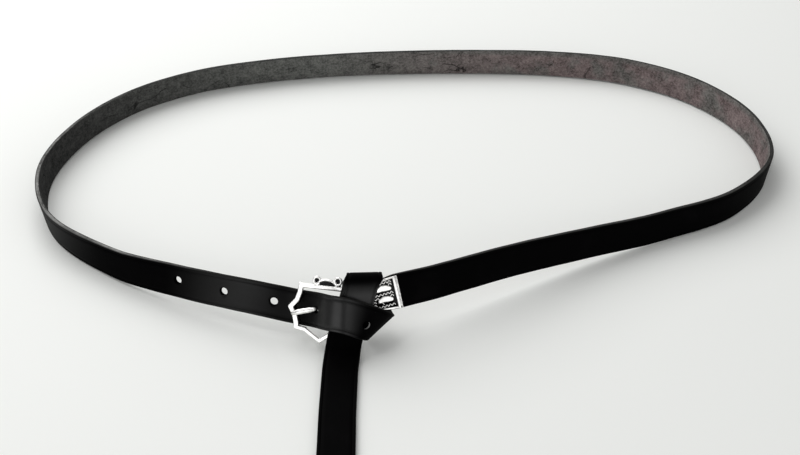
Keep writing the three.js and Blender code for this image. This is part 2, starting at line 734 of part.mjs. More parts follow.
function assembly() {
  const belt = new THREE.Group();
  const bounds = new THREE.Box3();
  const geometries = PIECES.map(([name, solid, finish]) => {
    const geometry = geometryOf(solid);
    geometry.computeBoundingBox();
    bounds.union(geometry.boundingBox);
    return { name, geometry, finish };
  });
  const middle = bounds.getCenter(new THREE.Vector3());
  for (const { name, geometry, finish } of geometries) {
    geometry.translate(-middle.x, -middle.y, -bounds.min.z);
    const mesh = new THREE.Mesh(geometry, new THREE.MeshStandardMaterial(finish));
    mesh.name = name;
    belt.add(mesh);
  }
  return belt;
}

export default assembly();
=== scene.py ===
"""Medieval belt: a black leather strap and its cast silver-coloured buckle on a pale table.

The strap is cut, creased and punched as a flat blank in millimetres and then laid along its route. The
castings are modelled in millimetres in their own axes and then set at the hinge. Everything ends up in
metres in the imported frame.
"""

import logging
import math
from dataclasses import dataclass
from enum import Enum
from typing import Callable, ClassVar, Dict, List, Optional, Sequence, Tuple, Union

import bpy
import numpy as np
from mathutils import Matrix, Vector, noise

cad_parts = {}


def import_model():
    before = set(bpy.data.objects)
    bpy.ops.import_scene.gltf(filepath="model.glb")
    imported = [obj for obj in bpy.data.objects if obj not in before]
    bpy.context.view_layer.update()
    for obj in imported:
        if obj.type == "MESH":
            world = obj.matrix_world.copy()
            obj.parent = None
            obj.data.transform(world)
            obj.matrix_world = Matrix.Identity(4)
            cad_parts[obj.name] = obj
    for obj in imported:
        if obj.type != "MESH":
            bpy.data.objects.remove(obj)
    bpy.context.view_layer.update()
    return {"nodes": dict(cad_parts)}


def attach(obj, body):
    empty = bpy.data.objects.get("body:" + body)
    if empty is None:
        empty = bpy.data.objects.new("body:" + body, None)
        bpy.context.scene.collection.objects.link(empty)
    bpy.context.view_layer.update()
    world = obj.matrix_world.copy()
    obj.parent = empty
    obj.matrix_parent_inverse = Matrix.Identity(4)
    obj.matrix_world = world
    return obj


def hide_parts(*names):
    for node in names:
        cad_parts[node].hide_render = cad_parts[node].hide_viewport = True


Point = Tuple[float, float, float]
Colour = Tuple[float, float, float]

MILLIMETRE = 0.001
# Two places closer than this, in millimetres, count as the same.
TOUCH = 0.01
BODY = "root"

# The CAD tables below are in millimetres before the model is centred; this moves them into the frame.
TABLE_TO_FRAME = Vector((-6.124, 10.924, 0.0))

# The strap's fixed end, in the plate's axes: how far along, and half the width there.
FIXED_END_ROWS: Tuple[Tuple[float, float], ...] = ((3.8, 6.3), (14.0, 6.8), (24.0, 8.0))

# The waist loop, counterclockwise from the plate to the buckle. x and y are the middle of the strap's
# lower edge, lift is that edge's height, lean is how far the upper edge tips inwards, in degrees.
LOOP_ROWS: Tuple[Tuple[float, ...], ...] = (
    (15.6, -73.1, 12.3, 21.0),
    (54.9, -51.4, 9.0, 15.9),
    (94.3, -30.2, 3.8, 12.4),
    (135.2, -11.6, 0.6, 10.4),
    (174.8, 9.8, 0.0, 3.3),
    (200.7, 45.3, 0.0, -5.8),
    (200.2, 89.8, 0.0, -8.2),
    (177.4, 128.2, 0.0, -9.2),
    (140.2, 153.1, 0.0, -8.9),
    (96.7, 164.1, 0.0, -2.8),
    (51.8, 167.2, 0.0, 1.1),
    (6.7, 166.8, 0.0, 3.4),
    (-38.2, 163.6, 0.0, 6.2),
    (-82.6, 155.9, 0.0, 6.9),
    (-125.3, 141.7, 0.0, 7.0),
    (-161.4, 115.4, 0.0, 5.2),
    (-184.8, 77.1, 0.0, 0.4),
    (-191.8, 33.0, 0.0, -5.1),
    (-177.1, -9.1, 0.0, -5.7),
    (-144.2, -39.5, 0.4, 5.5),
    (-105.4, -61.9, 4.4, 16.5),
    (-63.9, -79.2, 7.1, 24.5),
)

# The knot: low edge x, y, level and high edge x, y, level in the knot's axes.
KNOT_ROWS: Tuple[Tuple[float, ...], ...] = (
    (-26.8, -9.0, -3.0, -26.6, 7.3, -3.0),
    (-22.0, -9.6, -2.2, -21.4, 6.7, -2.2),
    (-19.0, -9.7, -0.2, -18.0, 6.7, -0.2),
    (-15.6, -9.6, 3.2, -14.1, 6.7, 3.2),
    (-9.8, -9.9, 9.0, -9.0, 6.9, 8.8),
    (-4.2, -10.4, 10.2, -3.3, 6.3, 10.4),
    (0.6, -11.8, 9.2, 2.9, 4.2, 9.2),
    (3.2, -12.9, 8.6, 7.7, 2.3, 8.8),
    (5.4, -13.5, 7.5, 13.0, 0.0, 7.9),
    (7.1, -13.9, 5.0, 16.8, -2.5, 6.0),
    (7.6, -14.1, 1.6, 19.0, -4.1, 1.6),
    (5.9, -13.1, -2.6, 19.0, -3.8, -3.6),
    (4.2, -10.4, -4.4, 17.5, -0.6, -5.6),
    (1.0, -1.4, -4.4, 15.6, 4.3, -5.4),
    (-1.2, 6.9, -4.4, 14.2, 9.5, -5.3),
    (-1.6, 12.6, -3.0, 13.8, 12.9, -3.6),
    (-1.3, 14.5, 1.2, 14.0, 14.2, 0.4),
    (-1.2, 13.8, 5.4, 13.7, 13.3, 4.2),
    (-2.2, 11.0, 7.2, 12.3, 10.5, 5.2),
    (-3.6, 7.1, 7.3, 11.5, 6.9, 5.3),
    (-5.9, 0.0, 7.1, 10.0, 0.2, 5.4),
    (-8.3, -7.4, 6.4, 7.7, -7.4, 4.8),
    (-9.9, -13.2, 5.5, 5.7, -13.4, 3.9),
)

# The free end: x of its left and right edge, y and height of its middle.
TAIL_ROWS: Tuple[Tuple[float, ...], ...] = (
    (-33.7, -17.6, -97.9, 3.4),
    (-34.2, -18.1, -102.8, 1.7),
    (-34.5, -18.5, -108.0, 1.2),
    (-34.6, -18.6, -122.0, 1.2),
    (-34.6, -18.6, -137.0, 1.2),
    (-34.3, -18.3, -152.0, 1.2),
    (-34.1, -18.1, -167.0, 1.2),
    (-34.0, -18.0, -180.0, 1.2),
    (-32.6, -19.5, -186.5, 1.2),
    (-28.6, -23.6, -190.5, 1.2),
)
FIRST_FREE_WIDTH_ROW = 7

KNOT_ORIGIN: Point = (-22.5, -86.0, 18.0)
KNOT_LEAN = math.radians(30)
BEND_LEFT = 0.216
BEND_RIGHT = 0.35
BEND_ROUNDING = 6.0
PLATE_HINGE: Point = (-23.4, -85.9, 18.9)
PLATE_RECEDE: Point = (0.943, 0.289, -0.167)
PLATE_TILT = math.radians(13)
FRAME_HINGE: Point = (-23.5, -87.3, 15.3)
FRAME_RECEDE: Point = (0.977, -0.185, 0.107)
FRAME_TILT = math.radians(-6.5)

log = logging.getLogger("belt")


def axes_from(origin: Point, along: Point, tilt: float) -> Matrix:
    """Right-handed axes at a hinge: along the piece, up across it, out to the front.

    Args:
        origin: the hinge, in table millimetres.
        along: the direction that the piece runs in, roughly.
        tilt: how far the piece is turned in its own plane, in radians.

    Returns:
        The matrix from the piece's axes to table millimetres.
    """
    up = Vector((0.0, math.sin(KNOT_LEAN), math.cos(KNOT_LEAN)))
    direction = Vector(along)
    flat = (direction - up * direction.dot(up)).normalized()
    tilted_along = flat * math.cos(tilt) + up * math.sin(tilt)
    tilted_up = up * math.cos(tilt) - flat * math.sin(tilt)
    out = tilted_along.cross(tilted_up).normalized()
    matrix = Matrix((tilted_along, tilted_up, out)).transposed().to_4x4()
    matrix.translation = Vector(origin)
    return matrix


KNOT_AXES = axes_from(KNOT_ORIGIN, (1.0, 0.0, 0.0), 0.0)
PLATE_AXES = axes_from(PLATE_HINGE, PLATE_RECEDE, PLATE_TILT)
FRAME_AXES = axes_from(FRAME_HINGE, FRAME_RECEDE, FRAME_TILT)
TO_FRAME = Matrix.Scale(MILLIMETRE, 4) @ Matrix.Translation(TABLE_TO_FRAME)


def in_metres(points: np.ndarray, axes: Optional[Matrix] = None) -> np.ndarray:
    """Moves points from a piece's own axes, or from table axes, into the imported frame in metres.

    Args:
        points: rows of x, y, z in millimetres.
        axes: the piece's own axes; None means that the points are in table axes already.

    Returns:
        The same points in the frame, in metres.
    """
    whole = TO_FRAME @ axes if axes is not None else TO_FRAME
    table = np.array(whole)
    return points @ table[:3, :3].T + table[:3, 3]


class Part(Enum):
    """The visible pieces by name."""

    STRAP = "strap_leather"
    FRAME = "frame_casting"
    PIN = "pin_casting"
    PLATE = "plate_sheets"
    LEAVES = "plate_leaves"
    HATCHING = "plate_hatching"


class Side(Enum):
    """The two sheets of the folded plate."""

    FRONT = 1
    BACK = -1


def deselect_all() -> None:
    """Leaves edit mode and selects nothing."""
    if bpy.context.object is not None and bpy.context.object.mode != "OBJECT":
        bpy.ops.object.mode_set(mode="OBJECT")
    bpy.ops.object.select_all(action="DESELECT")


def pick(piece: bpy.types.Object) -> None:
    """Makes one object the only selected one and the active one.

    Args:
        piece: the object.
    """
    deselect_all()
    piece.select_set(True)
    bpy.context.view_layer.objects.active = piece


def coordinates(piece: bpy.types.Object) -> np.ndarray:
    """The mesh's vertices as rows of x, y, z.

    Args:
        piece: the mesh object.

    Returns:
        One row per vertex.
    """
    rows = np.empty(len(piece.data.vertices) * 3)
    piece.data.vertices.foreach_get("co", rows)
    return rows.reshape(-1, 3)


def set_coordinates(piece: bpy.types.Object, rows: np.ndarray) -> None:
    """Moves the mesh's vertices to new places."""
    piece.data.vertices.foreach_set("co", rows.ravel())
    piece.data.update()


def apply_place(piece: bpy.types.Object) -> None:
    """Moves the object's place, turn and size into its mesh."""
    pick(piece)
    bpy.ops.object.transform_apply(location=True, rotation=True, scale=True)


def select_vertices(piece: bpy.types.Object, chosen: np.ndarray) -> None:
    """Enters edit mode in vertex mode with the vertices of a mask selected.

    Args:
        piece: the mesh object.
        chosen: one true or false per vertex.
    """
    pick(piece)
    bpy.context.tool_settings.mesh_select_mode = (True, False, False)
    bpy.ops.object.mode_set(mode="EDIT")
    bpy.ops.mesh.select_all(action="DESELECT")
    bpy.ops.object.mode_set(mode="OBJECT")
    piece.data.vertices.foreach_set("select", np.asarray(chosen, dtype=bool))
    bpy.ops.object.mode_set(mode="EDIT")


def select_edges(piece: bpy.types.Object, test: Callable[[Vector, Vector], bool]) -> None:
    """Enters edit mode in edge mode with the edges that pass a test selected.

    Args:
        piece: the mesh object.
        test: says from an edge's two ends whether it is wanted.
    """
    pick(piece)
    bpy.context.tool_settings.mesh_select_mode = (False, True, False)
    bpy.ops.object.mode_set(mode="EDIT")
    bpy.ops.mesh.select_all(action="DESELECT")
    bpy.ops.object.mode_set(mode="OBJECT")
    vertices = piece.data.vertices
    for edge in piece.data.edges:
        first, second = edge.vertices
        edge.select = test(vertices[first].co, vertices[second].co)
    bpy.ops.object.mode_set(mode="EDIT")


def finish_edit() -> None:
    """Goes back to object mode."""
    bpy.ops.object.mode_set(mode="OBJECT")


def slice_faces(piece: bpy.types.Object, point: Point, normal: Point, trim: bool = False) -> None:
    """Cuts all faces of a piece along a plane.

    Args:
        piece: the mesh object.
        point: a point of the plane.
        normal: the plane's normal.
        trim: whether what lies in front of the plane goes and the cut is closed.
    """
    select_vertices(piece, np.ones(len(piece.data.vertices), dtype=bool))
    bpy.ops.mesh.bisect(plane_co=point, plane_no=normal, use_fill=trim, clear_outer=trim)
    finish_edit()


def set_down(piece: bpy.types.Object, place: Point, turn: float) -> None:
    """Turns a piece in its own plane, moves it to its place and applies both.

    Args:
        piece: the mesh object, modelled about the origin.
        place: where its origin comes.
        turn: the angle, in radians.
    """
    piece.rotation_euler = (0.0, 0.0, turn)
    piece.location = place
    apply_place(piece)


def apply_modifier(piece: bpy.types.Object, kind: str, **settings: object) -> None:
    """Adds a modifier, sets it and applies it.

    Args:
        piece: the mesh object.
        kind: the modifier's type, such as BEVEL.
        settings: the modifier's properties by name.
    """
    pick(piece)
    bpy.ops.object.modifier_add(type=kind)
    modifier = piece.modifiers[-1]
    for name, value in settings.items():
        setattr(modifier, name, value)
    bpy.ops.object.modifier_apply(modifier=modifier.name)


def join(pieces: Sequence[bpy.types.Object], name: str) -> bpy.types.Object:
    """Joins objects into the first one and names it.

    Args:
        pieces: mesh objects.
        name: the joined object's name.

    Returns:
        The joined object.
    """
    deselect_all()
    for piece in pieces:
        piece.select_set(True)
    bpy.context.view_layer.objects.active = pieces[0]
    if len(pieces) > 1:
        bpy.ops.object.join()
    whole = bpy.context.object
    whole.name = name
    whole.data.name = name
    return whole


def add_ball(centre: Sequence[float], radius: float, segments: int = 20) -> bpy.types.Object:
    """A round ball at a place.

    Args:
        centre: its middle.
        radius: its radius.
        segments: faces round it.

    Returns:
        The new object.
    """
    deselect_all()
    bpy.ops.mesh.primitive_uv_sphere_add(
        segments=segments, ring_count=max(6, segments // 2), radius=radius, location=tuple(centre)
    )
    piece = bpy.context.object
    apply_place(piece)
    return piece


def add_rod(
    start: Sequence[float],
    end: Sequence[float],
    radius: float,
    end_radius: Optional[float] = None,
    sides: int = 20,
) -> bpy.types.Object:
    """A round rod, or a taper, from one point to another.

    Args:
        start: the middle of one end.
        end: the middle of the other end.
        radius: the radius at the start.
        end_radius: the radius at the end; None means the same.
        sides: faces round it.

    Returns:
        The new object.
    """
    first = Vector(start)
    second = Vector(end)
    direction = second - first
    deselect_all()
    bpy.ops.mesh.primitive_cone_add(
        vertices=sides,
        radius1=radius,
        radius2=radius if end_radius is None else end_radius,
        depth=direction.length,
        location=(first + second) / 2,
        rotation=direction.to_track_quat("Z", "Y").to_euler(),
    )
    piece = bpy.context.object
    apply_place(piece)
    return piece


def add_block(
    low: Sequence[float], high: Sequence[float], rounding: float, segments: int = 3
) -> bpy.types.Object:
    """A block between two corners with rounded edges.

    Args:
        low: its lowest corner.
        high: its highest corner.
        rounding: the radius of its edges.
        segments: steps of the rounding.

    Returns:
        The new object.
    """
    middle = [(a + b) / 2 for a, b in zip(low, high)]
    size = [b - a for a, b in zip(low, high)]
    deselect_all()
    bpy.ops.mesh.primitive_cube_add(size=1.0, location=middle)
    piece = bpy.context.object
    piece.scale = size
    apply_place(piece)
    bpy.ops.object.mode_set(mode="EDIT")
    bpy.ops.mesh.select_all(action="SELECT")
    bpy.ops.mesh.bevel(offset=rounding, segments=segments, affect="EDGES")
    finish_edit()
    return piece


def fuse(piece: bpy.types.Object, voxel: float, passes: int) -> None:
    """Melts overlapping shells into one skin with soft inner corners, as in a casting.

    Args:
        piece: the joined object.
        voxel: the remesh's step.
        passes: how often the skin is smoothed.
    """
    apply_modifier(piece, "REMESH", mode="VOXEL", voxel_size=voxel, use_smooth_shade=True)
    apply_modifier(piece, "SMOOTH", factor=0.5, iterations=passes)


def take_away(piece: bpy.types.Object, cutter: bpy.types.Object) -> None:
    """Cuts one object's shape out of another and removes the cutter."""
    apply_modifier(piece, "BOOLEAN", operation="DIFFERENCE", solver="EXACT", object=cutter)
    bpy.data.objects.remove(cutter)


def smooth_by_angle(piece: bpy.types.Object, degrees: float) -> None:
    """Shades the piece smooth except where faces meet at more than an angle."""
    pick(piece)
    bpy.ops.object.shade_smooth_by_angle(angle=math.radians(degrees))


def store_values(piece: bpy.types.Object, name: str, values: np.ndarray) -> None:
    """Stores one number or one vector per vertex for the materials to read.

    Args:
        piece: the mesh object.
        name: the attribute's name.
        values: one number, or one row of three, per vertex.
    """
    kind = "FLOAT" if values.ndim == 1 else "FLOAT_VECTOR"
    attribute = piece.data.attributes.new(name, kind, "POINT")
    attribute.data.foreach_set("value" if kind == "FLOAT" else "vector", values.astype(np.float32).ravel())


def ramp_between(low: float, high: float, values: np.ndarray) -> np.ndarray:
    """A soft step from 0 at low to 1 at high."""
    share = np.clip((values - low) / (high - low), 0.0, 1.0)
    return share * share * (3.0 - 2.0 * share)


class StrapRoute:
    """The strap's way round the waist and through the knot, from the plate to the tip.

    Both edges are centripetal splines through the tables' sections, as in the CAD model.
    """

    def __init__(self, width: float, thickness: float, pitch: float) -> None:
        """Samples the route.

        Args:
            width: the strap's width.
            thickness: the strap's thickness.
            pitch: the greatest distance between samples.
        """
        self.width = width
        self.thickness = thickness
        stations = self._stations()
        lows = np.array([station[0] for station in stations])
        highs = np.array([station[1] for station in stations])
        free = [station[2] for station in stations]
        edges_low: List[np.ndarray] = []
        edges_high: List[np.ndarray] = []
        free_width: List[bool] = []
        for index in range(len(stations) - 1):
            gap_low = np.linalg.norm(lows[index + 1] - lows[index])
            gap_high = np.linalg.norm(highs[index + 1] - highs[index])
            steps = max(2, math.ceil((gap_low + gap_high) / 2 / pitch))
            for step in range(steps):
                edges_low.append(self._spline(lows, index, step / steps))
                edges_high.append(self._spline(highs, index, step / steps))
                free_width.append(free[index] or free[index + 1])
        edges_low.append(lows[-1])
        edges_high.append(highs[-1])
        free_width.append(True)
        self._finish(np.array(edges_low), np.array(edges_high), np.array(free_width))

    def _finish(self, low: np.ndarray, high: np.ndarray, free_width: np.ndarray) -> None:
        """Works out centres, directions, widths and distances along the strap.

        Args:
            low: the low edge at every sample.
            high: the high edge at every sample.
            free_width: whether the width there is the table's own.
        """
        low[:, 2] = np.maximum(low[:, 2], self.thickness / 2)
        high[:, 2] = np.maximum(high[:, 2], self.thickness / 2)
        self.centre = (low + high) / 2
        tangent = np.empty_like(self.centre)
        tangent[1:-1] = self.centre[2:] - self.centre[:-2]
        tangent[0] = self.centre[1] - self.centre[0]
        tangent[-1] = self.centre[-1] - self.centre[-2]
        tangent /= np.linalg.norm(tangent, axis=1)[:, None]
        across = high - low
        slant = (across * tangent).sum(axis=1)
        square = np.linalg.norm(across - slant[:, None] * tangent, axis=1)
        factor = np.where(free_width, 1.0, self.width / square)
        self.across = across * factor[:, None]
        self.slant = slant * factor / self.width
        normal = np.cross(tangent, self.across)
        self.normal = normal / np.linalg.norm(normal, axis=1)[:, None]
        steps = np.linalg.norm(np.diff(self.centre, axis=0), axis=1)
        self.distance = np.concatenate([[0.0], np.cumsum(steps)])
        self.length = float(self.distance[-1])

    @staticmethod
    def _spline(points: np.ndarray, index: int, share: float) -> np.ndarray:
        """A point on the centripetal Catmull-Rom spline between station index and the next one.

        Args:
            points: the stations of one edge.
            index: the station before the point.
            share: how far the point is towards the next station, from 0 to 1.

        Returns:
            The point.
        """
        last = len(points) - 1
        here = points[index]
        after = points[index + 1]
        before = points[index - 1] if index > 0 else 2 * here - after
        beyond = points[index + 2] if index + 2 <= last else 2 * after - here
        gap_before = float(np.linalg.norm(here - before)) ** 0.5
        gap = float(np.linalg.norm(after - here)) ** 0.5
        gap_after = float(np.linalg.norm(beyond - after)) ** 0.5
        leave = (here - before) / gap_before - (after - before) / (gap_before + gap) + (after - here) / gap
        arrive = (after - here) / gap - (beyond - here) / (gap + gap_after) + (beyond - after) / gap_after
        leave = leave * gap
        arrive = arrive * gap
        square = -3 * here + 3 * after - 2 * leave - arrive
        cube = 2 * here - 2 * after + leave + arrive
        return here + leave * share + square * share**2 + cube * share**3

    def _stations(self) -> List[Tuple[np.ndarray, np.ndarray, bool]]:
        """All the strap's sections in order.

        Returns:
            One low edge, high edge and mark per section.
        """
        stations: List[Tuple[np.ndarray, np.ndarray, bool]] = []
        for x, half in FIXED_END_ROWS:
            low = np.array(PLATE_AXES @ Vector((x, -half, 0.0)))
            high = np.array(PLATE_AXES @ Vector((x, half, 0.0)))
            stations.append((low, high, half < self.width / 2))
        last = len(LOOP_ROWS) - 1
        for index, (x, y, lift, lean) in enumerate(LOOP_ROWS):
            before = LOOP_ROWS[max(index - 1, 0)]
            after = LOOP_ROWS[min(index + 1, last)]
            heading = math.atan2(after[1] - before[1], after[0] - before[0])
            outward = np.array([math.sin(heading), -math.cos(heading), 0.0])
            tip = math.radians(lean)
            up = np.array([0.0, 0.0, math.cos(tip)]) - outward * math.sin(tip)
            corner_drop = self.thickness / 2 * abs(math.sin(tip))
            low = np.array([x, y, max(lift, corner_drop)])
            stations.append((low, low + up * self.width, False))
        for row in KNOT_ROWS:
            stations.append((self._knot_point(*row[:3]), self._knot_point(*row[3:]), False))
        for index, (left, right, y, z) in enumerate(TAIL_ROWS):
            free = index > FIRST_FREE_WIDTH_ROW
            stations.append((np.array([left, y, z]), np.array([right, y, z]), free))
        return stations

    @staticmethod
    def _knot_point(x: float, y: float, level: float) -> np.ndarray:
        """A point of the knot, its level counted from the belt's bent middle surface.

        Args:
            x: along the knot.
            y: across it.
            level: height over the bent surface.

        Returns:
            The point, in table millimetres.
        """
        even = (BEND_LEFT + BEND_RIGHT) / 2
        skew = (BEND_RIGHT - BEND_LEFT) / 2
        bent = -(even * math.hypot(x, BEND_ROUNDING) + skew * x)
        return np.array(KNOT_AXES @ Vector((x, y, level + bent)))

    def nearest(self, point: Sequence[float], beyond: float) -> float:
        """The distance along the strap of the sample nearest a point.

        Args:
            point: the point, in table millimetres.
            beyond: only samples past this distance count.

        Returns:
            The distance along the strap.
        """
        gaps = np.linalg.norm(self.centre - np.array(point), axis=1)
        gaps[self.distance < beyond] = np.inf
        return float(self.distance[int(np.argmin(gaps))])

    def slant_at(self, along: float) -> float:
        """How far the sections lean along the strap there, per millimetre of width."""
        return float(np.interp(along, self.distance, self.slant))

    def lay(self, blank: np.ndarray) -> np.ndarray:
        """Lays points of the flat blank along the route.

        Args:
            blank: rows of distance along, distance across and height, in millimetres.

        Returns:
            The points on the fastened belt, in table millimetres.
        """
        along = blank[:, 0]

        def at(values: np.ndarray) -> np.ndarray:
            """The route's vectors at every point's distance."""
            return np.stack([np.interp(along, self.distance, values[:, k]) for k in range(3)], axis=1)

        normal = at(self.normal)
        normal /= np.linalg.norm(normal, axis=1)[:, None]
        sideways = at(self.across) * (blank[:, 1] / self.width)[:, None]
        return at(self.centre) + sideways + normal * blank[:, 2:3]


class Wire:
    """A value in a material: a socket on which arithmetic adds Math nodes."""

    def __init__(self, tree: "MaterialTree", socket: bpy.types.NodeSocket) -> None:
        """Keeps the tree that new nodes go into and the socket."""
        self.tree = tree
        self.socket = socket

    def _math(self, operation: str, first: "Value", second: "Value" = 0.0) -> "Wire":
        """A Math node on one or two values."""
        return self.tree.node("ShaderNodeMath", {"operation": operation}, {0: first, 1: second})

    def __add__(self, other: "Value") -> "Wire":
        """The sum."""
        return self._math("ADD", self, other)

    __radd__ = __add__

    def __sub__(self, other: "Value") -> "Wire":
        """The difference."""
        return self._math("SUBTRACT", self, other)

    def __rsub__(self, other: "Value") -> "Wire":
        """The difference, the other way round."""
        return self._math("SUBTRACT", other, self)

    def __mul__(self, other: "Value") -> "Wire":
        """The product."""
        return self._math("MULTIPLY", self, other)

    __rmul__ = __mul__

    def __abs__(self) -> "Wire":
        """The size without its sign."""
        return self._math("ABSOLUTE", self)

    def greatest(self, other: "Value") -> "Wire":
        """The greater of two values."""
        return self._math("MAXIMUM", self, other)

    def step(self, low: float, high: float) -> "Wire":
        """A soft step from 0 at low to 1 at high.

        Args:
            low: where it leaves 0.
            high: where it reaches 1.

        Returns:
            The step, from 0 to 1.
        """
        return self.tree.node(
            "ShaderNodeMapRange",
            {"interpolation_type": "SMOOTHSTEP"},
            {"Value": self, "From Min": low, "From Max": high},
        )


Value = Union[Wire, float, Tuple[float, ...]]


class MaterialTree:
    """A material's node tree and the few ways in which nodes are added to it."""

    def __init__(self, name: str) -> None:
        """Makes an empty material with its shader and output.

        Args:
            name: the material's name.
        """
        self.material = bpy.data.materials.new(name)
        self.material.use_nodes = True
        self.nodes = self.material.node_tree.nodes
        self.links = self.material.node_tree.links
        self.nodes.clear()
        self.output = self.nodes.new("ShaderNodeOutputMaterial")
        self.shader = self.nodes.new("ShaderNodeBsdfPrincipled")
        self.links.new(self.shader.outputs["BSDF"], self.output.inputs["Surface"])

    def node(
        self,
        kind: str,
        settings: Optional[Dict[str, object]] = None,
        values: Optional[Dict[Union[int, str], Value]] = None,
        output: Union[int, str] = 0,
    ) -> Wire:
        """Adds a node.

        Args:
            kind: the node's type.
            settings: its properties by name, which are set first.
            values: numbers, tuples or wires for its inputs, by name or number.
            output: the output that is handed on.

        Returns:
            The chosen output.
        """
        node = self.nodes.new(kind)
        for name, value in (settings or {}).items():
            setattr(node, name, value)
        for key, value in (values or {}).items():
            self._feed(node.inputs[key], value)
        return Wire(self, node.outputs[output])

    def _feed(self, socket: bpy.types.NodeSocket, value: Value) -> None:
        """Links a wire to a socket, or sets the socket's number or colour.

        Args:
            socket: the input.
            value: a wire, a number or a colour.
        """
        if isinstance(value, Wire):
            self.links.new(value.socket, socket)
        elif isinstance(value, tuple) and len(value) == 3 and len(socket.default_value) == 4:
            socket.default_value = (*value, 1.0)
        else:
            socket.default_value = value

    def set(self, **values: Value) -> None:
        """Feeds the shader's own sockets; an underscore stands for a space."""
        for name, value in values.items():
            self._feed(self.shader.inputs[name.replace("_", " ")], value)

    def attribute(self, name: str, output: str = "Fac") -> Wire:
        """A value stored on the piece's vertices."""
        return self.node("ShaderNodeAttribute", {"attribute_name": name}, output=output)

    def place(self) -> Wire:
        """The point's place in millimetres."""
        metres = self.node("ShaderNodeTexCoord", output="Object")
        return self.scaled(metres, (1000.0, 1000.0, 1000.0))

    def scaled(self, vector: Wire, factors: Tuple[float, float, float]) -> Wire:
        """A vector with each part multiplied."""
        return self.node("ShaderNodeVectorMath", {"operation": "MULTIPLY"}, {0: vector, 1: factors})

    def moved(self, vector: Wire, shift: Wire, amount: float) -> Wire:
        """A vector pushed about by a colour or vector pattern."""
        push = self.node("ShaderNodeVectorMath", {"operation": "SCALE"}, {0: shift, "Scale": amount})
        return self.node("ShaderNodeVectorMath", {"operation": "ADD"}, {0: vector, 1: push})

    def parts(self, vector: Wire) -> Tuple[Wire, Wire, Wire]:
        """A vector's three parts.

        Args:
            vector: the vector.

        Returns:
            Its x, y and z.
        """
        split = self.node("ShaderNodeSeparateXYZ", values={0: vector})
        outputs = split.socket.node.outputs
        return Wire(self, outputs[0]), Wire(self, outputs[1]), Wire(self, outputs[2])

    def cloud(
        self, vector: Wire, size: float, detail: float = 3.0, rough: float = 0.5, output: str = "Fac"
    ) -> Wire:
        """Soft noise whose patches are about size millimetres across."""
        values = {"Vector": vector, "Scale": 1.0 / size, "Detail": detail, "Roughness": rough}
        return self.node("ShaderNodeTexNoise", {}, values, output)

    def cells(self, vector: Wire, size: float) -> Wire:
        """Distance pattern of cells about size millimetres across."""
        values = {"Vector": vector, "Scale": 1.0 / size}
        return self.node("ShaderNodeTexVoronoi", {"feature": "F1"}, values, "Distance")

    def blend(self, factor: Value, first: Value, second: Value) -> Wire:
        """A mix of two colours.

        Args:
            factor: 0 for the first, 1 for the second.
            first: a colour.
            second: a colour.

        Returns:
            The mixed colour.
        """
        settings = {"data_type": "RGBA", "clamp_factor": True}
        node = self.node("ShaderNodeMix", settings, {0: factor}, 2).socket.node
        self._feed(node.inputs[6], first)
        self._feed(node.inputs[7], second)
        return Wire(self, node.outputs[2])

    def relief(self, height: Wire) -> Wire:
        """A bump from a height in millimetres."""
        return self.node("ShaderNodeBump", {}, {"Height": height, "Distance": MILLIMETRE, "Strength": 1.0})


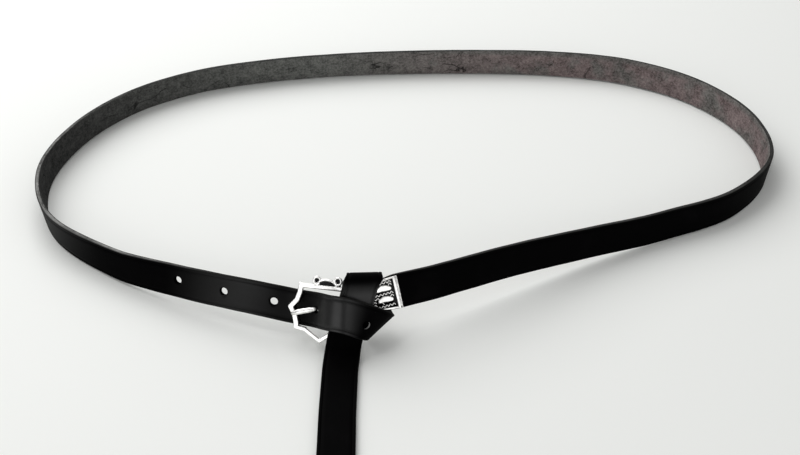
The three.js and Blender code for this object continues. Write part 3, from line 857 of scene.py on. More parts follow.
@dataclass(frozen=True)
class BeltLeather:
    """Black dyed leather: a smooth outside, a rough grey inside and a pale cut edge.

    It reads the place on the flat blank, in millimetres: along, across and height.
    """

    half_width: float
    crease_inset: float
    specular: float = 0.02
    coat_roughness: float = 0.34
    # where handling has polished the outside: start, middle and end along the strap, and how much
    polished: Tuple[Tuple[float, float, float, float], ...] = (
        (300.0, 560.0, 830.0, 0.28),
        (830.0, 860.0, 895.0, 0.22),
        (930.0, 970.0, 1000.0, 0.66),
        (985.0, 1003.0, 1016.0, 0.26),
        (1007.0, 1022.0, 1041.0, 0.76),
        (1017.0, 1028.0, 1038.5, 0.42),
        (1089.0, 1097.0, 1110.0, 0.95),
    )
    grain_colour: Colour = (0.0009, 0.0008, 0.0010)
    grain_worn: Colour = (0.0042, 0.0038, 0.0042)
    # near black for the pressed line, also used as painted shade on the hole walls
    crease_and_wall_shade: Colour = (0.0006, 0.0006, 0.0006)
    # left of the loop: the suede's own tone, darkened further as painted shade
    flesh_dark_left: Colour = (0.014, 0.014, 0.014)
    flesh_light_left: Colour = (0.082, 0.082, 0.080)
    flesh_dark_back: Colour = (0.042, 0.043, 0.041)
    flesh_light_back: Colour = (0.235, 0.238, 0.225)
    flesh_dark_right: Colour = (0.060, 0.047, 0.046)
    flesh_light_right: Colour = (0.320, 0.262, 0.258)
    flesh_vein: Colour = (0.006, 0.006, 0.006)
    edge_dark: Colour = (0.020, 0.020, 0.019)
    edge_light: Colour = (0.105, 0.105, 0.102)
    # pale bare fibre, also used as painted light on the cut edge and on one hole's wall
    bare_lit_edge: Colour = (0.41, 0.41, 0.40)

    def build(self) -> bpy.types.Material:
        """Makes the material.

        Returns:
            The material.
        """
        tree = MaterialTree("belt_leather")
        blank = tree.attribute("blank", "Vector")
        along, across, height = tree.parts(blank)
        from_middle = abs(across)
        wobble = tree.cloud(blank, 6.0, 2.0) - 0.5
        rim = (from_middle + wobble * 0.12).step(self.half_width - 0.30, self.half_width - 0.10)
        core = 1.0 - abs(height + wobble * 0.15).step(0.80, 1.0)
        inside = 1.0 - (height + wobble * 0.2).step(-1.0, -0.75)
        edge = rim.greatest(core) * (1.0 - inside)
        outside = 1.0 - edge.greatest(inside)

        grain = self._grain_colour(tree, blank, from_middle)
        flesh = self._flesh_colour(tree, blank, along)
        # hole walls: painted shade in near black, and a painted lit patch in bare-fibre colour on the
        # middle of one hole's wall
        walls = 1.0 - from_middle.step(self.half_width - 2.0, self.half_width - 1.6)
        painted_lit_wall = along.step(1026.0, 1030.0) * (1.0 - abs(height).step(0.45, 0.7))
        wall_shade_and_lit_patch = tree.blend(painted_lit_wall, self.crease_and_wall_shade, self.bare_lit_edge)
        cut = tree.blend(walls, self._edge_colour(tree, blank), wall_shade_and_lit_patch)
        colour = tree.blend(inside, tree.blend(edge, grain, cut), flesh)

        polish = self._polish(along)
        mottle = tree.cloud(blank, 14.0, 4.0) * 0.14 + tree.cloud(blank, 0.8, 2.0) * 0.06
        rough = outside * (0.42 + mottle) + (1.0 - outside) * 0.85
        tree.set(
            Base_Color=colour,
            Roughness=rough,
            Specular_IOR_Level=self.specular,
            Coat_Weight=outside * polish * (0.72 + mottle * 2.8),
            Coat_Roughness=self.coat_roughness,
            Normal=tree.relief(self._height(tree, blank, outside, inside)),
        )
        return tree.material

    def _polish(self, along: Wire) -> Wire:
        """How much handling has polished the outside at each place along the strap.

        Args:
            along: the distance along the strap.

        Returns:
            The share of polish.
        """
        polish = along * 0.0
        for start, full, end, weight in self.polished:
            polish = polish + along.step(start, full) * (1.0 - along.step(full, end)) * weight
        return polish

    def _grain_colour(self, tree: MaterialTree, blank: Wire, from_middle: Wire) -> Wire:
        """Black with faint cloudy wear, duller along the pressed line.

        Args:
            tree: the material's tree.
            blank: the place on the flat blank.
            from_middle: the distance from the strap's middle line.

        Returns:
            The colour.
        """
        wear = tree.cloud(blank, 22.0, 5.0, 0.6).step(0.48, 0.75)
        scuffs = tree.cloud(tree.scaled(blank, (0.4, 1.6, 1.0)), 1.6, 4.0, 0.65).step(0.60, 0.78)
        colour = tree.blend(wear * 0.5 + scuffs * 0.35, self.grain_colour, self.grain_worn)
        line = 1.0 - abs(from_middle - (self.half_width - self.crease_inset)).step(0.1, 0.5)
        return tree.blend(line * 0.8, colour, self.crease_and_wall_shade)

    def _flesh_colour(self, tree: MaterialTree, blank: Wire, along: Wire) -> Wire:
        """Suede: grey and speckled, paler and warmer on the belt's right half, darker along the left of
        the loop, partly its own tone and partly painted shade.

        Args:
            tree: the material's tree.
            blank: the place on the flat blank.
            along: the distance along the strap.

        Returns:
            The colour.
        """
        clouds = tree.cloud(blank, 6.0, 5.0, 0.70).step(0.28, 0.70)
        specks = tree.cloud(blank, 1.4, 5.0, 0.8).step(0.38, 0.62)
        fibres = tree.cloud(tree.scaled(blank, (0.5, 1.0, 1.0)), 0.5, 3.0, 0.7).step(0.3, 0.7)
        shade = clouds * 0.42 + specks * 0.40 + fibres * 0.18
        patches = tree.cloud(blank, 30.0, 4.0, 0.6).step(0.46, 0.62)
        upper = tree.parts(blank)[1].step(3.5, 7.5)
        neutral = along.step(430.0, 600.0).greatest(patches * 0.8).greatest(upper * 0.8)
        # darker along the left of the loop: partly the suede's own tone, partly painted shade where it
        # faces away from the key light
        own_tone_and_shade = along.step(560.0, 800.0)
        dark = tree.blend(neutral, self.flesh_dark_right, self.flesh_dark_back)
        dark = tree.blend(own_tone_and_shade, dark, self.flesh_dark_left)
        light = tree.blend(neutral, self.flesh_light_right, self.flesh_light_back)
        light = tree.blend(own_tone_and_shade, light, self.flesh_light_left)
        veins = self._veins(tree, blank) * (0.25 + along.step(380.0, 460.0) * 0.5)
        return tree.blend(veins, tree.blend(shade, dark, light), self.flesh_vein)

    @staticmethod
    def _veins(tree: MaterialTree, blank: Wire) -> Wire:
        """A few thin dark lines that wander along and across the strap, come and go.

        Args:
            tree: the material's tree.
            blank: the place on the flat blank.

        Returns:
            1 on a line, 0 elsewhere.
        """
        bent = tree.moved(blank, tree.cloud(blank, 5.0, 3.0, 0.5, "Color"), 3.0)
        field = tree.cloud(tree.scaled(bent, (0.55, 1.0, 1.0)), 31.0, 2.0, 0.45)
        lines = 1.0 - abs(field - 0.5).step(0.0008, 0.0060)
        return lines * tree.cloud(blank, 16.0, 2.0).step(0.44, 0.58)

    def _edge_colour(self, tree: MaterialTree, blank: Wire) -> Wire:
        """Grey fibres of the cut: a pale strip before the buckle, partly bare fibre and partly painted
        highlight, and darker close to it.

        Args:
            tree: the material's tree.
            blank: the place on the flat blank.

        Returns:
            The colour.
        """
        along, _, height = tree.parts(blank)
        fibres = tree.cloud(tree.scaled(blank, (0.25, 1.0, 2.5)), 0.6, 4.0, 0.6).step(0.25, 0.75)
        patches = tree.cloud(blank, 18.0, 4.0).step(0.3, 0.7)
        # painted highlight: the cut is paler along the left of the loop, where its top edge catches the
        # light
        bare_lit_strip = along.step(700.0, 800.0) * (1.0 - along.step(905.0, 975.0))
        light = tree.blend(bare_lit_strip, self.edge_light, self.bare_lit_edge)
        near_buckle = along.step(905.0, 985.0)
        burnished = abs(height + (fibres - 0.5) * 0.4).step(0.45, 1.0)
        shade = (fibres * 0.6 + patches * 0.4) * (1.0 - near_buckle * 0.9) * (1.0 - burnished * 0.85)
        return tree.blend(shade, self.edge_dark, light)

    @staticmethod
    def _height(tree: MaterialTree, blank: Wire, outside: Wire, inside: Wire) -> Wire:
        """Pores and fine creases outside, nap inside, fibres on the cut.

        Args:
            tree: the material's tree.
            blank: the place on the flat blank.
            outside: 1 on the outside.
            inside: 1 on the inside.

        Returns:
            The height, in millimetres.
        """
        pores = tree.cells(blank, 0.55) * 0.018 + tree.cloud(blank, 0.25, 2.0) * 0.012
        creases = tree.cloud(tree.scaled(blank, (1.0, 0.35, 1.0)), 3.0, 5.0, 0.6) * 0.09
        nap = tree.cloud(blank, 0.6, 5.0, 0.7) * 0.20 + tree.cloud(blank, 3.5, 3.0) * 0.12
        fibres = tree.cloud(tree.scaled(blank, (0.3, 1.0, 2.0)), 0.5, 3.0) * 0.10
        between = 1.0 - outside.greatest(inside)
        return outside * (pores + creases) + inside * nap + between * fibres


@dataclass(frozen=True)
class CastSilver:
    """Silver-coloured cast metal, blackened where it is sunk and painted darker where the pin lies in
    shade.

    It reads a value per vertex that is 1 in the sunk ground and 0 on the raised parts; on the pin it
    carries painted shade.
    """

    name: str = "cast_silver"
    bright: Colour = (0.95, 0.945, 0.93)
    dull: Colour = (0.80, 0.795, 0.78)
    black: Colour = (0.008, 0.008, 0.008)
    roughness: float = 0.27

    def build(self) -> bpy.types.Material:
        """Makes the material.

        Returns:
            The material.
        """
        tree = MaterialTree(self.name)
        place = tree.place()
        recess_and_shade = (tree.attribute("recess_and_shade") + (tree.cloud(place, 0.8, 3.0) - 0.5) * 0.35).step(0.3, 0.7)
        cloudy = tree.cloud(place, 3.0, 4.0).step(0.4, 0.75)
        metal = tree.blend(cloudy * 0.6, self.bright, self.dull)
        scratches = tree.cloud(tree.scaled(place, (6.0, 0.6, 0.6)), 0.5, 2.0)
        height = tree.cloud(place, 1.2, 4.0, 0.55) * 0.035 + scratches * 0.004
        tree.set(
            Base_Color=tree.blend(recess_and_shade, metal, self.black),
            Metallic=1.0 - recess_and_shade * 0.85,
            Roughness=self.roughness + cloudy * 0.12 + scratches * 0.06 + recess_and_shade * 0.35,
            Normal=tree.relief(height),
        )
        return tree.material


@dataclass(frozen=True)
class PaleTable:
    """Matt near-white board."""

    colour: Colour = (0.875, 0.885, 0.865)

    def build(self) -> bpy.types.Material:
        """Makes the material.

        Returns:
            The material.
        """
        tree = MaterialTree("pale_table")
        place = tree.place()
        clouds = tree.cloud(place, 220.0, 3.0)
        shade = tuple(part * 0.96 for part in self.colour)
        tree.set(
            Base_Color=tree.blend(clouds * 0.5, self.colour, shade),
            Roughness=0.75 + clouds * 0.1,
            Normal=tree.relief(tree.cloud(place, 1.5, 3.0) * 0.01),
        )
        return tree.material


@dataclass
class Strap:
    """The leather strap: cut flat, pressed with a line along both edges, punched, then laid in place."""

    width: float = 16.0
    thickness: float = 2.4
    route_pitch: float = 0.75
    step: float = 1.0
    rows_between: Tuple[float, ...] = (0.0, 1.6, 3.2, 4.8)
    edge_rounding: float = 0.38
    crease_inset: float = 1.45
    crease_half_width: float = 0.32
    crease_depth: float = 0.17
    hole_radius: float = 1.9
    hole_height_share: float = 0.95
    hole_pitch: float = 25.0
    hole_shift: float = 1.0
    hole_lip: float = 0.5
    # pitches from the pinned hole along the strap, how far off its middle, and share of the full size
    hole_rows: Tuple[Tuple[float, float, float], ...] = (
        (-3.0, 0.8, 1.0),
        (-2.0, 0.2, 1.0),
        (-1.0, 0.3, 1.0),
        (-0.02, 0.2, 0.8),
        (1.06, -1.2, 1.0),
    )
    hole_sides: int = 36
    # how far the thickness swells and what share of the width the edges stray
    swell: float = 0.07
    stray: float = 0.010
    crease_angle: float = 50.0

    def build(self) -> bpy.types.Object:
        """Makes, lays and dresses the strap.

        Returns:
            The finished piece.
        """
        route = StrapRoute(self.width, self.thickness, self.route_pitch)
        blank = self._cut(route.length)
        self._press_lines(blank)
        self._round_edges(blank, route.length)
        self._punch(blank, route)
        flat = coordinates(blank)
        store_values(blank, "blank", flat)
        set_coordinates(blank, in_metres(route.lay(self._relax(flat))))
        smooth_by_angle(blank, self.crease_angle)
        leather = BeltLeather(self.width / 2, self.crease_inset)
        return dress(blank, leather.build(), ("strap",))

    def _cut(self, length: float) -> bpy.types.Object:
        """A flat strip of the strap's size, with rows where lines will be pressed.

        Args:
            length: the strap's length.

        Returns:
            The blank.
        """
        deselect_all()
        bpy.ops.mesh.primitive_grid_add(
            x_subdivisions=round(length / self.step),
            y_subdivisions=1,
            size=1.0,
            location=(length / 2, 0.0, 0.0),
        )
        blank = bpy.context.object
        blank.name = Part.STRAP.value
        blank.scale = (length, self.width, 1.0)
        apply_place(blank)
        line = self.width / 2 - self.crease_inset
        rows = [*self.rows_between, line - self.crease_half_width, line, line + self.crease_half_width]
        for row in sorted({-row for row in rows} | set(rows)):
            slice_faces(blank, (0.0, row, 0.0), (0.0, 1.0, 0.0))
        apply_modifier(blank, "SOLIDIFY", thickness=self.thickness, offset=0.0)
        return blank

    def _press_lines(self, blank: bpy.types.Object) -> None:
        """Presses the line along both edges of the outside.

        Args:
            blank: the flat strip.
        """
        line = self.width / 2 - self.crease_inset
        flat = coordinates(blank)
        pressed = (np.abs(np.abs(flat[:, 1]) - line) < TOUCH) & (flat[:, 2] > 0)
        select_vertices(blank, pressed)
        bpy.ops.transform.translate(value=(0.0, 0.0, -self.crease_depth))
        finish_edit()

    def _round_edges(self, blank: bpy.types.Object, length: float) -> None:
        """Rounds the four long edges and the edges of both ends.

        Args:
            blank: the flat strip.
            length: its length.
        """
        half_width = self.width / 2
        half_thickness = self.thickness / 2

        def outer(first: Vector, second: Vector) -> bool:
            """Whether an edge runs along the outline of the strap's upper or lower face.

            Args:
                first: one end of the edge.
                second: its other end.

            Returns:
                Whether the edge is to be rounded.
            """
            level = abs(abs(first.z) - half_thickness) < TOUCH and abs(first.z - second.z) < TOUCH
            side = abs(abs(first.y) - half_width) < TOUCH and abs(first.y - second.y) < TOUCH
            end = any(abs(first.x - x) < TOUCH and abs(second.x - x) < TOUCH for x in (0.0, length))
            return level and (side or end)

        select_edges(blank, outer)
        bpy.ops.mesh.bevel(offset=self.edge_rounding, segments=3, affect="EDGES")
        finish_edit()

    def hole_places(self, route: StrapRoute) -> List[Tuple[float, float, float]]:
        """The places and sizes of the five holes, counted from the pinned one.

        Args:
            route: the strap's route, which says where the pin goes through.

        Returns:
            For each hole, the place along, the place across and the share of the full size.
        """
        crossing = FRAME_AXES @ Vector(Pin.through_strap)
        pinned = route.nearest(crossing, route.length / 2) + self.hole_shift
        return [(pinned + step * self.hole_pitch, across, share) for step, across, share in self.hole_rows]

    def _punch(self, blank: bpy.types.Object, route: StrapRoute) -> None:
        """Punches the holes, which use has drawn slightly oval.

        Args:
            blank: the flat strip.
            route: the strap's route.
        """
        for place, across, share in self.hole_places(route):
            cutter = self._cutter()
            rows = coordinates(cutter)
            rows[:, 1] = rows[:, 1] * share * self.hole_height_share + across
            rows[:, 0] = rows[:, 0] * share + place - route.slant_at(place) * rows[:, 1]
            set_coordinates(cutter, rows)
            take_away(blank, cutter)

    def _cutter(self) -> bpy.types.Object:
        """A punch whose two ends flare, so that it also breaks the sharp edge of both mouths.

        Returns:
            The punch, about the origin.
        """
        flare_start = self.thickness / 2 - self.hole_lip
        reach = self.thickness
        cutter = add_rod((0, 0, -reach), (0, 0, reach), self.hole_radius, sides=self.hole_sides)
        for level in (-flare_start, flare_start):
            slice_faces(cutter, (0.0, 0.0, level), (0.0, 0.0, 1.0))
        rows = coordinates(cutter)
        flared = np.abs(rows[:, 2]) > flare_start + TOUCH
        rows[flared, :2] *= (self.hole_radius + reach - flare_start) / self.hole_radius
        set_coordinates(cutter, rows)
        return cutter

    def _relax(self, flat: np.ndarray) -> np.ndarray:
        """Gives the flat strap the slight unevenness of real leather.

        Args:
            flat: rows of along, across and height.

        Returns:
            The rows, moved a little.
        """
        moved = flat.copy()
        for index, (along, across, height) in enumerate(flat):
            swell = noise.noise(Vector((along / 17.0, across / 9.0, 0.0)))
            edge = noise.noise(Vector((along / 11.0, 7.0, math.copysign(3.0, across))))
            moved[index, 2] = height + self.swell * swell * (height / self.thickness * 2)
            moved[index, 1] = across * (1.0 + self.stray * edge)
        return moved


@dataclass
class BuckleFrame:
    """The open cast frame with its hinge bar, the V below and the scroll ornament above."""

    front_width: float = 2.4
    lower_width: float = 1.95
    top_width: float = 2.1
    bar_depth: float = 1.9
    bar_rounding: float = 0.5
    bar_overlap_share: float = 0.32
    hinge_radius: float = 0.9
    half_height: float = 9.9
    voxel: float = 0.13
    front_side: Tuple[Tuple[float, float], ...] = (
        (-23.0, 9.9),
        (-23.4, 6.4),
        (-24.4, 2.9),
        (-27.1, -0.6),
        (-24.9, -4.0),
        (-23.9, -7.2),
        (-23.5, -9.7),
    )
    lower_side: Tuple[Tuple[float, float], ...] = (
        (-23.5, -9.7),
        (-19.4, -10.2),
        (-11.9, -14.5),
        (-6.4, -9.9),
        (0.0, -9.9),
    )
    top_end: Tuple[float, float] = (0.0, 10.6)
    spurs: Tuple[Tuple[float, float], ...] = ((-23.7, 10.7), (-27.9, -0.7), (-24.2, -10.3), (-11.9, -15.3))
    spur_radius: float = 0.62
    curl_middles: Tuple[Tuple[float, float], ...] = ((-15.8, 13.1), (-6.2, 13.9))
    curl_radius: float = 1.65
    curl_wire: float = 0.66
    # where a curl's wire starts and how far round it goes, and the shares that its turn and wire lose
    curl_start: float = math.radians(-60.0)
    curl_turn: float = math.radians(345.0)
    curl_tightening: float = 0.22
    curl_thinning: float = 0.2
    curl_steps: int = 24
    arch_middle: Tuple[float, float] = (-11.0, 11.3)
    arch_half_width: float = 4.4
    arch_rise: float = 2.5
    arch_wire: float = 0.6
    arch_steps: int = 16
    arch_slice: float = 1.0
    ornament_level: float = 0.35
    ground_back: float = -0.75
    ground_front: float = 0.0

    def build(self, finish: CastSilver) -> bpy.types.Object:
        """Makes and dresses the frame.

        Args:
            finish: the metal.

        Returns:
            The finished piece.
        """
        pieces = self._bars() + self._ornament()
        casting = join(pieces, Part.FRAME.value)
        fuse(casting, self.voxel, 4)
        rows = coordinates(casting)
        store_values(casting, "recess_and_shade", self._recess(rows))
        set_coordinates(casting, in_metres(rows, FRAME_AXES))
        smooth_by_angle(casting, 180.0)
        return dress(casting, finish.build(), ("buckle_frame",))

    def _bar(self, start: Tuple[float, float], end: Tuple[float, float], width: float) -> bpy.types.Object:
        """A bar with a soft rectangular section from one corner to the next, a little long at both ends.

        Args:
            start: one corner.
            end: the next corner.
            width: the bar's width.

        Returns:
            The bar.
        """
        overlap = width * self.bar_overlap_share
        first = Vector(start)
        second = Vector(end)
        direction = second - first
        half = direction.length / 2 + overlap
        low = (-half, -width / 2, -self.bar_depth / 2)
        high = (half, width / 2, self.bar_depth / 2)
        bar = add_block(low, high, self.bar_rounding)
        set_down(bar, (*(first + second) / 2, 0.0), math.atan2(direction.y, direction.x))
        return bar

    def _bars(self) -> List[bpy.types.Object]:
        """The frame's outline, its hinge bar and the small points at its corners.

        Returns:
            The pieces.
        """
        outlines = (
            (self.front_side, self.front_width),
            (self.lower_side, self.lower_width),
            ((self.front_side[0], self.top_end), self.top_width),
        )
        bars = [self._bar(a, b, width) for line, width in outlines for a, b in zip(line, line[1:])]
        foot = (0.0, -self.half_height, 0.0)
        top = (*self.top_end, 0.0)
        bars.append(add_rod(foot, top, self.hinge_radius))
        bars += [add_ball((x, y, 0.0), self.spur_radius) for x, y in self.spurs]
        bars += [add_ball(end, self.lower_width / 2) for end in (foot, top)]
        return bars

    def _ornament(self) -> List[bpy.types.Object]:
        """Two curled ends and the half-round arch between them, on a thin sunk ground."""
        left, right = self.curl_middles
        return self._curl(left, 1) + self._curl(right, -1) + self._arch()

    def _curl(self, middle: Tuple[float, float], inner: int) -> List[bpy.types.Object]:
        """One curled end: a wire that comes up from the bar, goes round and ends in a bead.

        Args:
            middle: the curl's middle.
            inner: 1 if the arch is to its right, -1 if it is to its left.

        Returns:
            The curl's wire and its ground.
        """
        x, y = middle
        points = []
        for step in range(self.curl_steps + 1):
            share = step / self.curl_steps
            angle = self.curl_start - share * self.curl_turn
            radius = self.curl_radius * (1.0 - self.curl_tightening * share**2)
            wire = self.curl_wire * (1.0 - self.curl_thinning * share)
            across = x + inner * radius * math.cos(angle)
            points.append((across, y + radius * math.sin(angle), self.ornament_level, wire))
        pieces = self._wire(points)
        pieces.append(add_ball(points[-1][:3], self.curl_wire * 1.05, 14))
        pieces.append(add_rod((x, y, self.ground_back), (x, y, self.ground_front), self.curl_radius))
        foot = self.curl_radius * 0.85
        low = (x - foot, self.half_height, self.ground_back)
        pieces.append(add_block(low, (x + foot, y, self.ground_front), 0.1, 1))
        return pieces

    def _arch(self) -> List[bpy.types.Object]:
        """The half ring between the curls, and its ground.

        Returns:
            The pieces.
        """
        x, y = self.arch_middle
        points = []
        pieces = []
        for step in range(self.arch_steps + 1):
            angle = math.pi * step / self.arch_steps
            across = x + self.arch_half_width * math.cos(angle)
            up = y + self.arch_rise * math.sin(angle)
            points.append((across, up, self.ornament_level, self.arch_wire))
            if 0 < step < self.arch_steps:
                low = (across - self.arch_slice / 2, self.half_height, self.ground_back)
                high = (across + self.arch_slice / 2, up, self.ground_front)
                pieces.append(add_block(low, high, 0.1, 1))
        return pieces + self._wire(points)

    @staticmethod
    def _wire(points: Sequence[Tuple[float, float, float, float]]) -> List[bpy.types.Object]:
        """Round wire through points that carry their own radius.

        Args:
            points: x, y, level and radius of every point.

        Returns:
            The balls and rods that make it.
        """
        pieces = [add_ball(point[:3], point[3], 12) for point in points]
        for start, end in zip(points, points[1:]):
            pieces.append(add_rod(start[:3], end[:3], start[3], end[3], 12))
        return pieces

    def _recess(self, rows: np.ndarray) -> np.ndarray:
        """Marks the sunk ground inside the curls and under the arch.

        Args:
            rows: the casting's vertices in the frame's axes.

        Returns:
            One value from 0 to 1 per vertex.
        """
        slope = (self.top_end[1] - self.half_height) / (self.top_end[0] - self.front_side[0][0])
        bar_top = self.half_height + self.top_width / 2 + slope * (rows[:, 0] - self.front_side[0][0])
        above = ramp_between(-0.15, 0.1, rows[:, 1] - bar_top)
        low = 1.0 - ramp_between(self.ground_front + 0.08, self.ground_front + 0.42, rows[:, 2])
        front = rows[:, 2] > self.ground_back + 0.2
        left = self.curl_middles[0][0] - self.curl_radius - self.curl_wire / 2
        return above * low * front * (rows[:, 0] > left)


@dataclass
class Pin:
    """The buckle's pin: an eye on the hinge bar, a neck and a leaf-shaped tongue over the front bar."""

    # x, y, level and radius in the frame's axes, from the eye to the tip
    rows: Tuple[Tuple[float, float, float, float], ...] = (
        (-3.4, 3.9, 1.7, 0.9),
        (-8.0, 2.5, 1.3, 1.0),
        (-11.2, 1.3, 1.2, 1.1),
        (-12.7, 0.8, 1.9, 0.9),
        (-13.6, 0.65, 2.9, 0.45),
        (-15.2, 0.2, 3.2, 0.95),
        (-17.6, -0.55, 3.1, 1.35),
        (-19.6, -1.15, 3.0, 1.3),
        (-22.6, -2.2, 2.9, 1.3),
        (-24.7, -3.05, 2.4, 1.1),
        (-25.3, -3.3, 2.1, 0.8),
    )
    eye_middle: float = 3.85
    eye_half_height: float = 1.5
    eye_radius: float = 1.75
    bore_radius: float = 1.25
    voxel: float = 0.11
    # painted shade: the tongue keeps the bright metal, its root is painted part way to black and the part
    # in and behind the hole fully black
    root_shade_span: Tuple[float, float] = (-21.5, -16.0)
    hole_shade_span: Tuple[float, float] = (-14.8, -13.4)
    root_shade_weight: float = 0.4
    through_strap: ClassVar[Point] = (-13.2, 0.8, 2.6)

    def build(self, finish: CastSilver) -> bpy.types.Object:
        """Makes and dresses the pin.

        Args:
            finish: the metal.

        Returns:
            The finished piece.
        """
        low = self.eye_middle - self.eye_half_height
        high = self.eye_middle + self.eye_half_height
        pieces = [add_rod((0, low, 0), (0, high, 0), self.eye_radius, sides=28)]
        pieces.append(add_rod((-0.2, self.eye_middle, 0.9), self.rows[0][:3], 1.0, self.rows[0][3]))
        pieces += [add_ball(row[:3], row[3]) for row in self.rows]
        pieces += [add_rod(a[:3], b[:3], a[3], b[3]) for a, b in zip(self.rows, self.rows[1:])]
        casting = join(pieces, Part.PIN.value)
        fuse(casting, self.voxel, 8)
        take_away(casting, add_rod((0, -8, 0), (0, 12, 0), self.bore_radius, sides=28))
        rows = coordinates(casting)
        # painted shade: grey at the root, black in and behind the strap's hole
        dull = ramp_between(*self.root_shade_span, rows[:, 0])
        black = ramp_between(*self.hole_shade_span, rows[:, 0])
        store_values(casting, "recess_and_shade", dull * self.root_shade_weight + black * (1.0 - self.root_shade_weight))
        set_coordinates(casting, in_metres(rows, FRAME_AXES))
        smooth_by_angle(casting, 60.0)
        return dress(casting, finish.build(), ("buckle_pin",))


@dataclass
class Plate:
    """The folded plate on the strap's fixed end: two sheets, knuckles, border, leaves and hatching."""

    length: float = 24.6
    half_height: float = 7.6
    inner_level: float = 1.5
    sheet: float = 1.0
    start: float = 4.6
    shoulder: float = 9.0
    upper_taper: float = 0.7
    lower_taper: float = 1.9
    ridge_start: float = 22.2
    flange_start: float = 23.5
    # the flange and the lip are painted this share of the way to black, which greys them
    flange_greying: float = 0.42
    # the ridge, the lip and the border start inside the front sheet and rise this far above its face
    raised_foot: float = 2.2
    ridge_rise: float = 0.7
    lip_rise: float = 0.15
    lip_length: float = 0.5
    rim_rise: float = 0.45
    rim_rounding: float = 0.3
    # the narrow strip of the face in which the blackening fades out
    ground_seam: Tuple[float, float] = (23.1, 23.2)
    rim_start: float = 12.0
    lower_rim_width: float = 1.0
    upper_rim_width: float = 0.6
    knuckle_top: float = 4.3
    knuckle_foot: float = -4.7
    knuckle_radius: float = 1.85
    bore_radius: float = 1.25
    eye_gap: float = 1.85
    leaf_rows: Tuple[Tuple[float, float, float], ...] = (
        (13.2, 2.3, 0.45),
        (14.4, 3.2, 1.15),
        (16.2, 3.7, 1.5),
        (18.2, 3.4, 1.5),
        (19.9, 2.9, 1.1),
        (21.1, 2.7, 0.45),
    )
    leaf_drop: float = -5.1
    leaf_height: float = 0.75
    leaf_sink: float = 0.25
    leaf_margin: float = 0.35
    stroke_levels: Tuple[float, ...] = (-4.7, -3.3, -1.9, -0.5, 0.9, 2.2, 3.5, 4.8, 6.0)
    stroke_columns: int = 15
    first_stroke: float = 9.4
    stroke_pitch: float = 0.88
    stroke_length: float = 1.4
    stroke_width: float = 0.46
    stroke_height: float = 0.42
    stroke_sink: float = 0.1
    stroke_rounding: float = 0.16
    stroke_lean: float = math.radians(38.0)
    # how far the strokes stay off the border and off the ridge
    border_gap: float = 0.45
    ridge_gap: float = 0.5
    web_inset: float = 0.6

    @property
    def front_level(self) -> float:
        """The level of the front sheet's face."""
        return self.inner_level + self.sheet

    def build(self, finish: CastSilver) -> List[bpy.types.Object]:
        """Makes and dresses the plate's pieces.

        Args:
            finish: the metal.

        Returns:
            The finished pieces.
        """
        metal = finish.build()
        sheets = self._sheets()
        leaves = self._leaves()
        hatching = self._hatching()
        for piece in (sheets, leaves, hatching):
            rows = coordinates(piece)
            if piece is not sheets:
                ground = self.front_level
                store_values(piece, "recess_and_shade", 1.0 - ramp_between(ground + 0.05, ground + 0.45, rows[:, 2]))
            set_coordinates(piece, in_metres(rows, PLATE_AXES))
            smooth_by_angle(piece, 50.0)
        dress(sheets, metal, ("buckle_plate",))
        dress(leaves, metal, ())
        dress(hatching, metal, ())
        return [sheets, leaves, hatching]

    def _sheet(self, side: Side) -> bpy.types.Object:
        """One sheet, trimmed to its tapered outline.

        Args:
            side: the front or the back sheet.

        Returns:
            The sheet.
        """
        levels = sorted((side.value * self.inner_level, side.value * self.front_level))
        low = (self.start, -self.half_height, levels[0])
        piece = add_block(low, (self.length, self.half_height, levels[1]), 0.22, 2)
        top = (self.shoulder, self._edge(self.shoulder, self.upper_taper))
        foot = (self.shoulder, -self._edge(self.shoulder, self.lower_taper))
        self._trim(piece, (self.start, self.knuckle_top), top)
        self._trim(piece, top, (self.length, self.half_height))
        self._trim(piece, foot, (self.start, self.knuckle_foot))
        self._trim(piece, (self.length, -self.half_height), foot)
        return piece

    def _edge(self, x: float, taper: float) -> float:
        """Half the plate's height at x; the plate widens evenly from the shoulder to the far end."""
        return self.half_height - taper * (self.length - x) / (self.length - self.shoulder)

    @staticmethod
    def _trim(piece: bpy.types.Object, start: Tuple[float, float], end: Tuple[float, float]) -> None:
        """Cuts away what lies to the left of a line seen from the front.

        Args:
            piece: the sheet.
            start: one point of the line.
            end: another point of it.
        """
        direction = Vector(end) - Vector(start)
        slice_faces(piece, (*start, 0.0), (-direction.y, direction.x, 0.0), trim=True)

    def _sheets(self) -> bpy.types.Object:
        """Both sheets with the border, the ridge, the blackened ground and the knuckles.

        Returns:
            The joined sheets.
        """
        front = self._sheet(Side.FRONT)
        recess_and_shade = self._mark_ground(front)
        back = self._sheet(Side.BACK)
        top = self.front_level
        ridge_low = (self.ridge_start, -self.half_height, self.raised_foot)
        ridge_high = (self.flange_start, self.half_height, top + self.ridge_rise)
        lip_low = (self.length - self.lip_length, -self.half_height, self.raised_foot)
        lip_high = (self.length, self.half_height, top + self.lip_rise)
        lip = add_block(lip_low, lip_high, 0.15)
        parts = [
            back,
            lip,
            add_block(ridge_low, ridge_high, 0.34),
            self._rim(-1, self.lower_taper, self.lower_rim_width),
            self._rim(1, self.upper_taper, self.upper_rim_width),
        ]
        parts += self._knuckles()
        for piece in parts:
            greying = self.flange_greying if piece is lip else 0.0
            store_values(piece, "recess_and_shade", np.full(len(piece.data.vertices), greying))
        store_values(front, "recess_and_shade", recess_and_shade)
        return join([front] + parts, Part.PLATE.value)

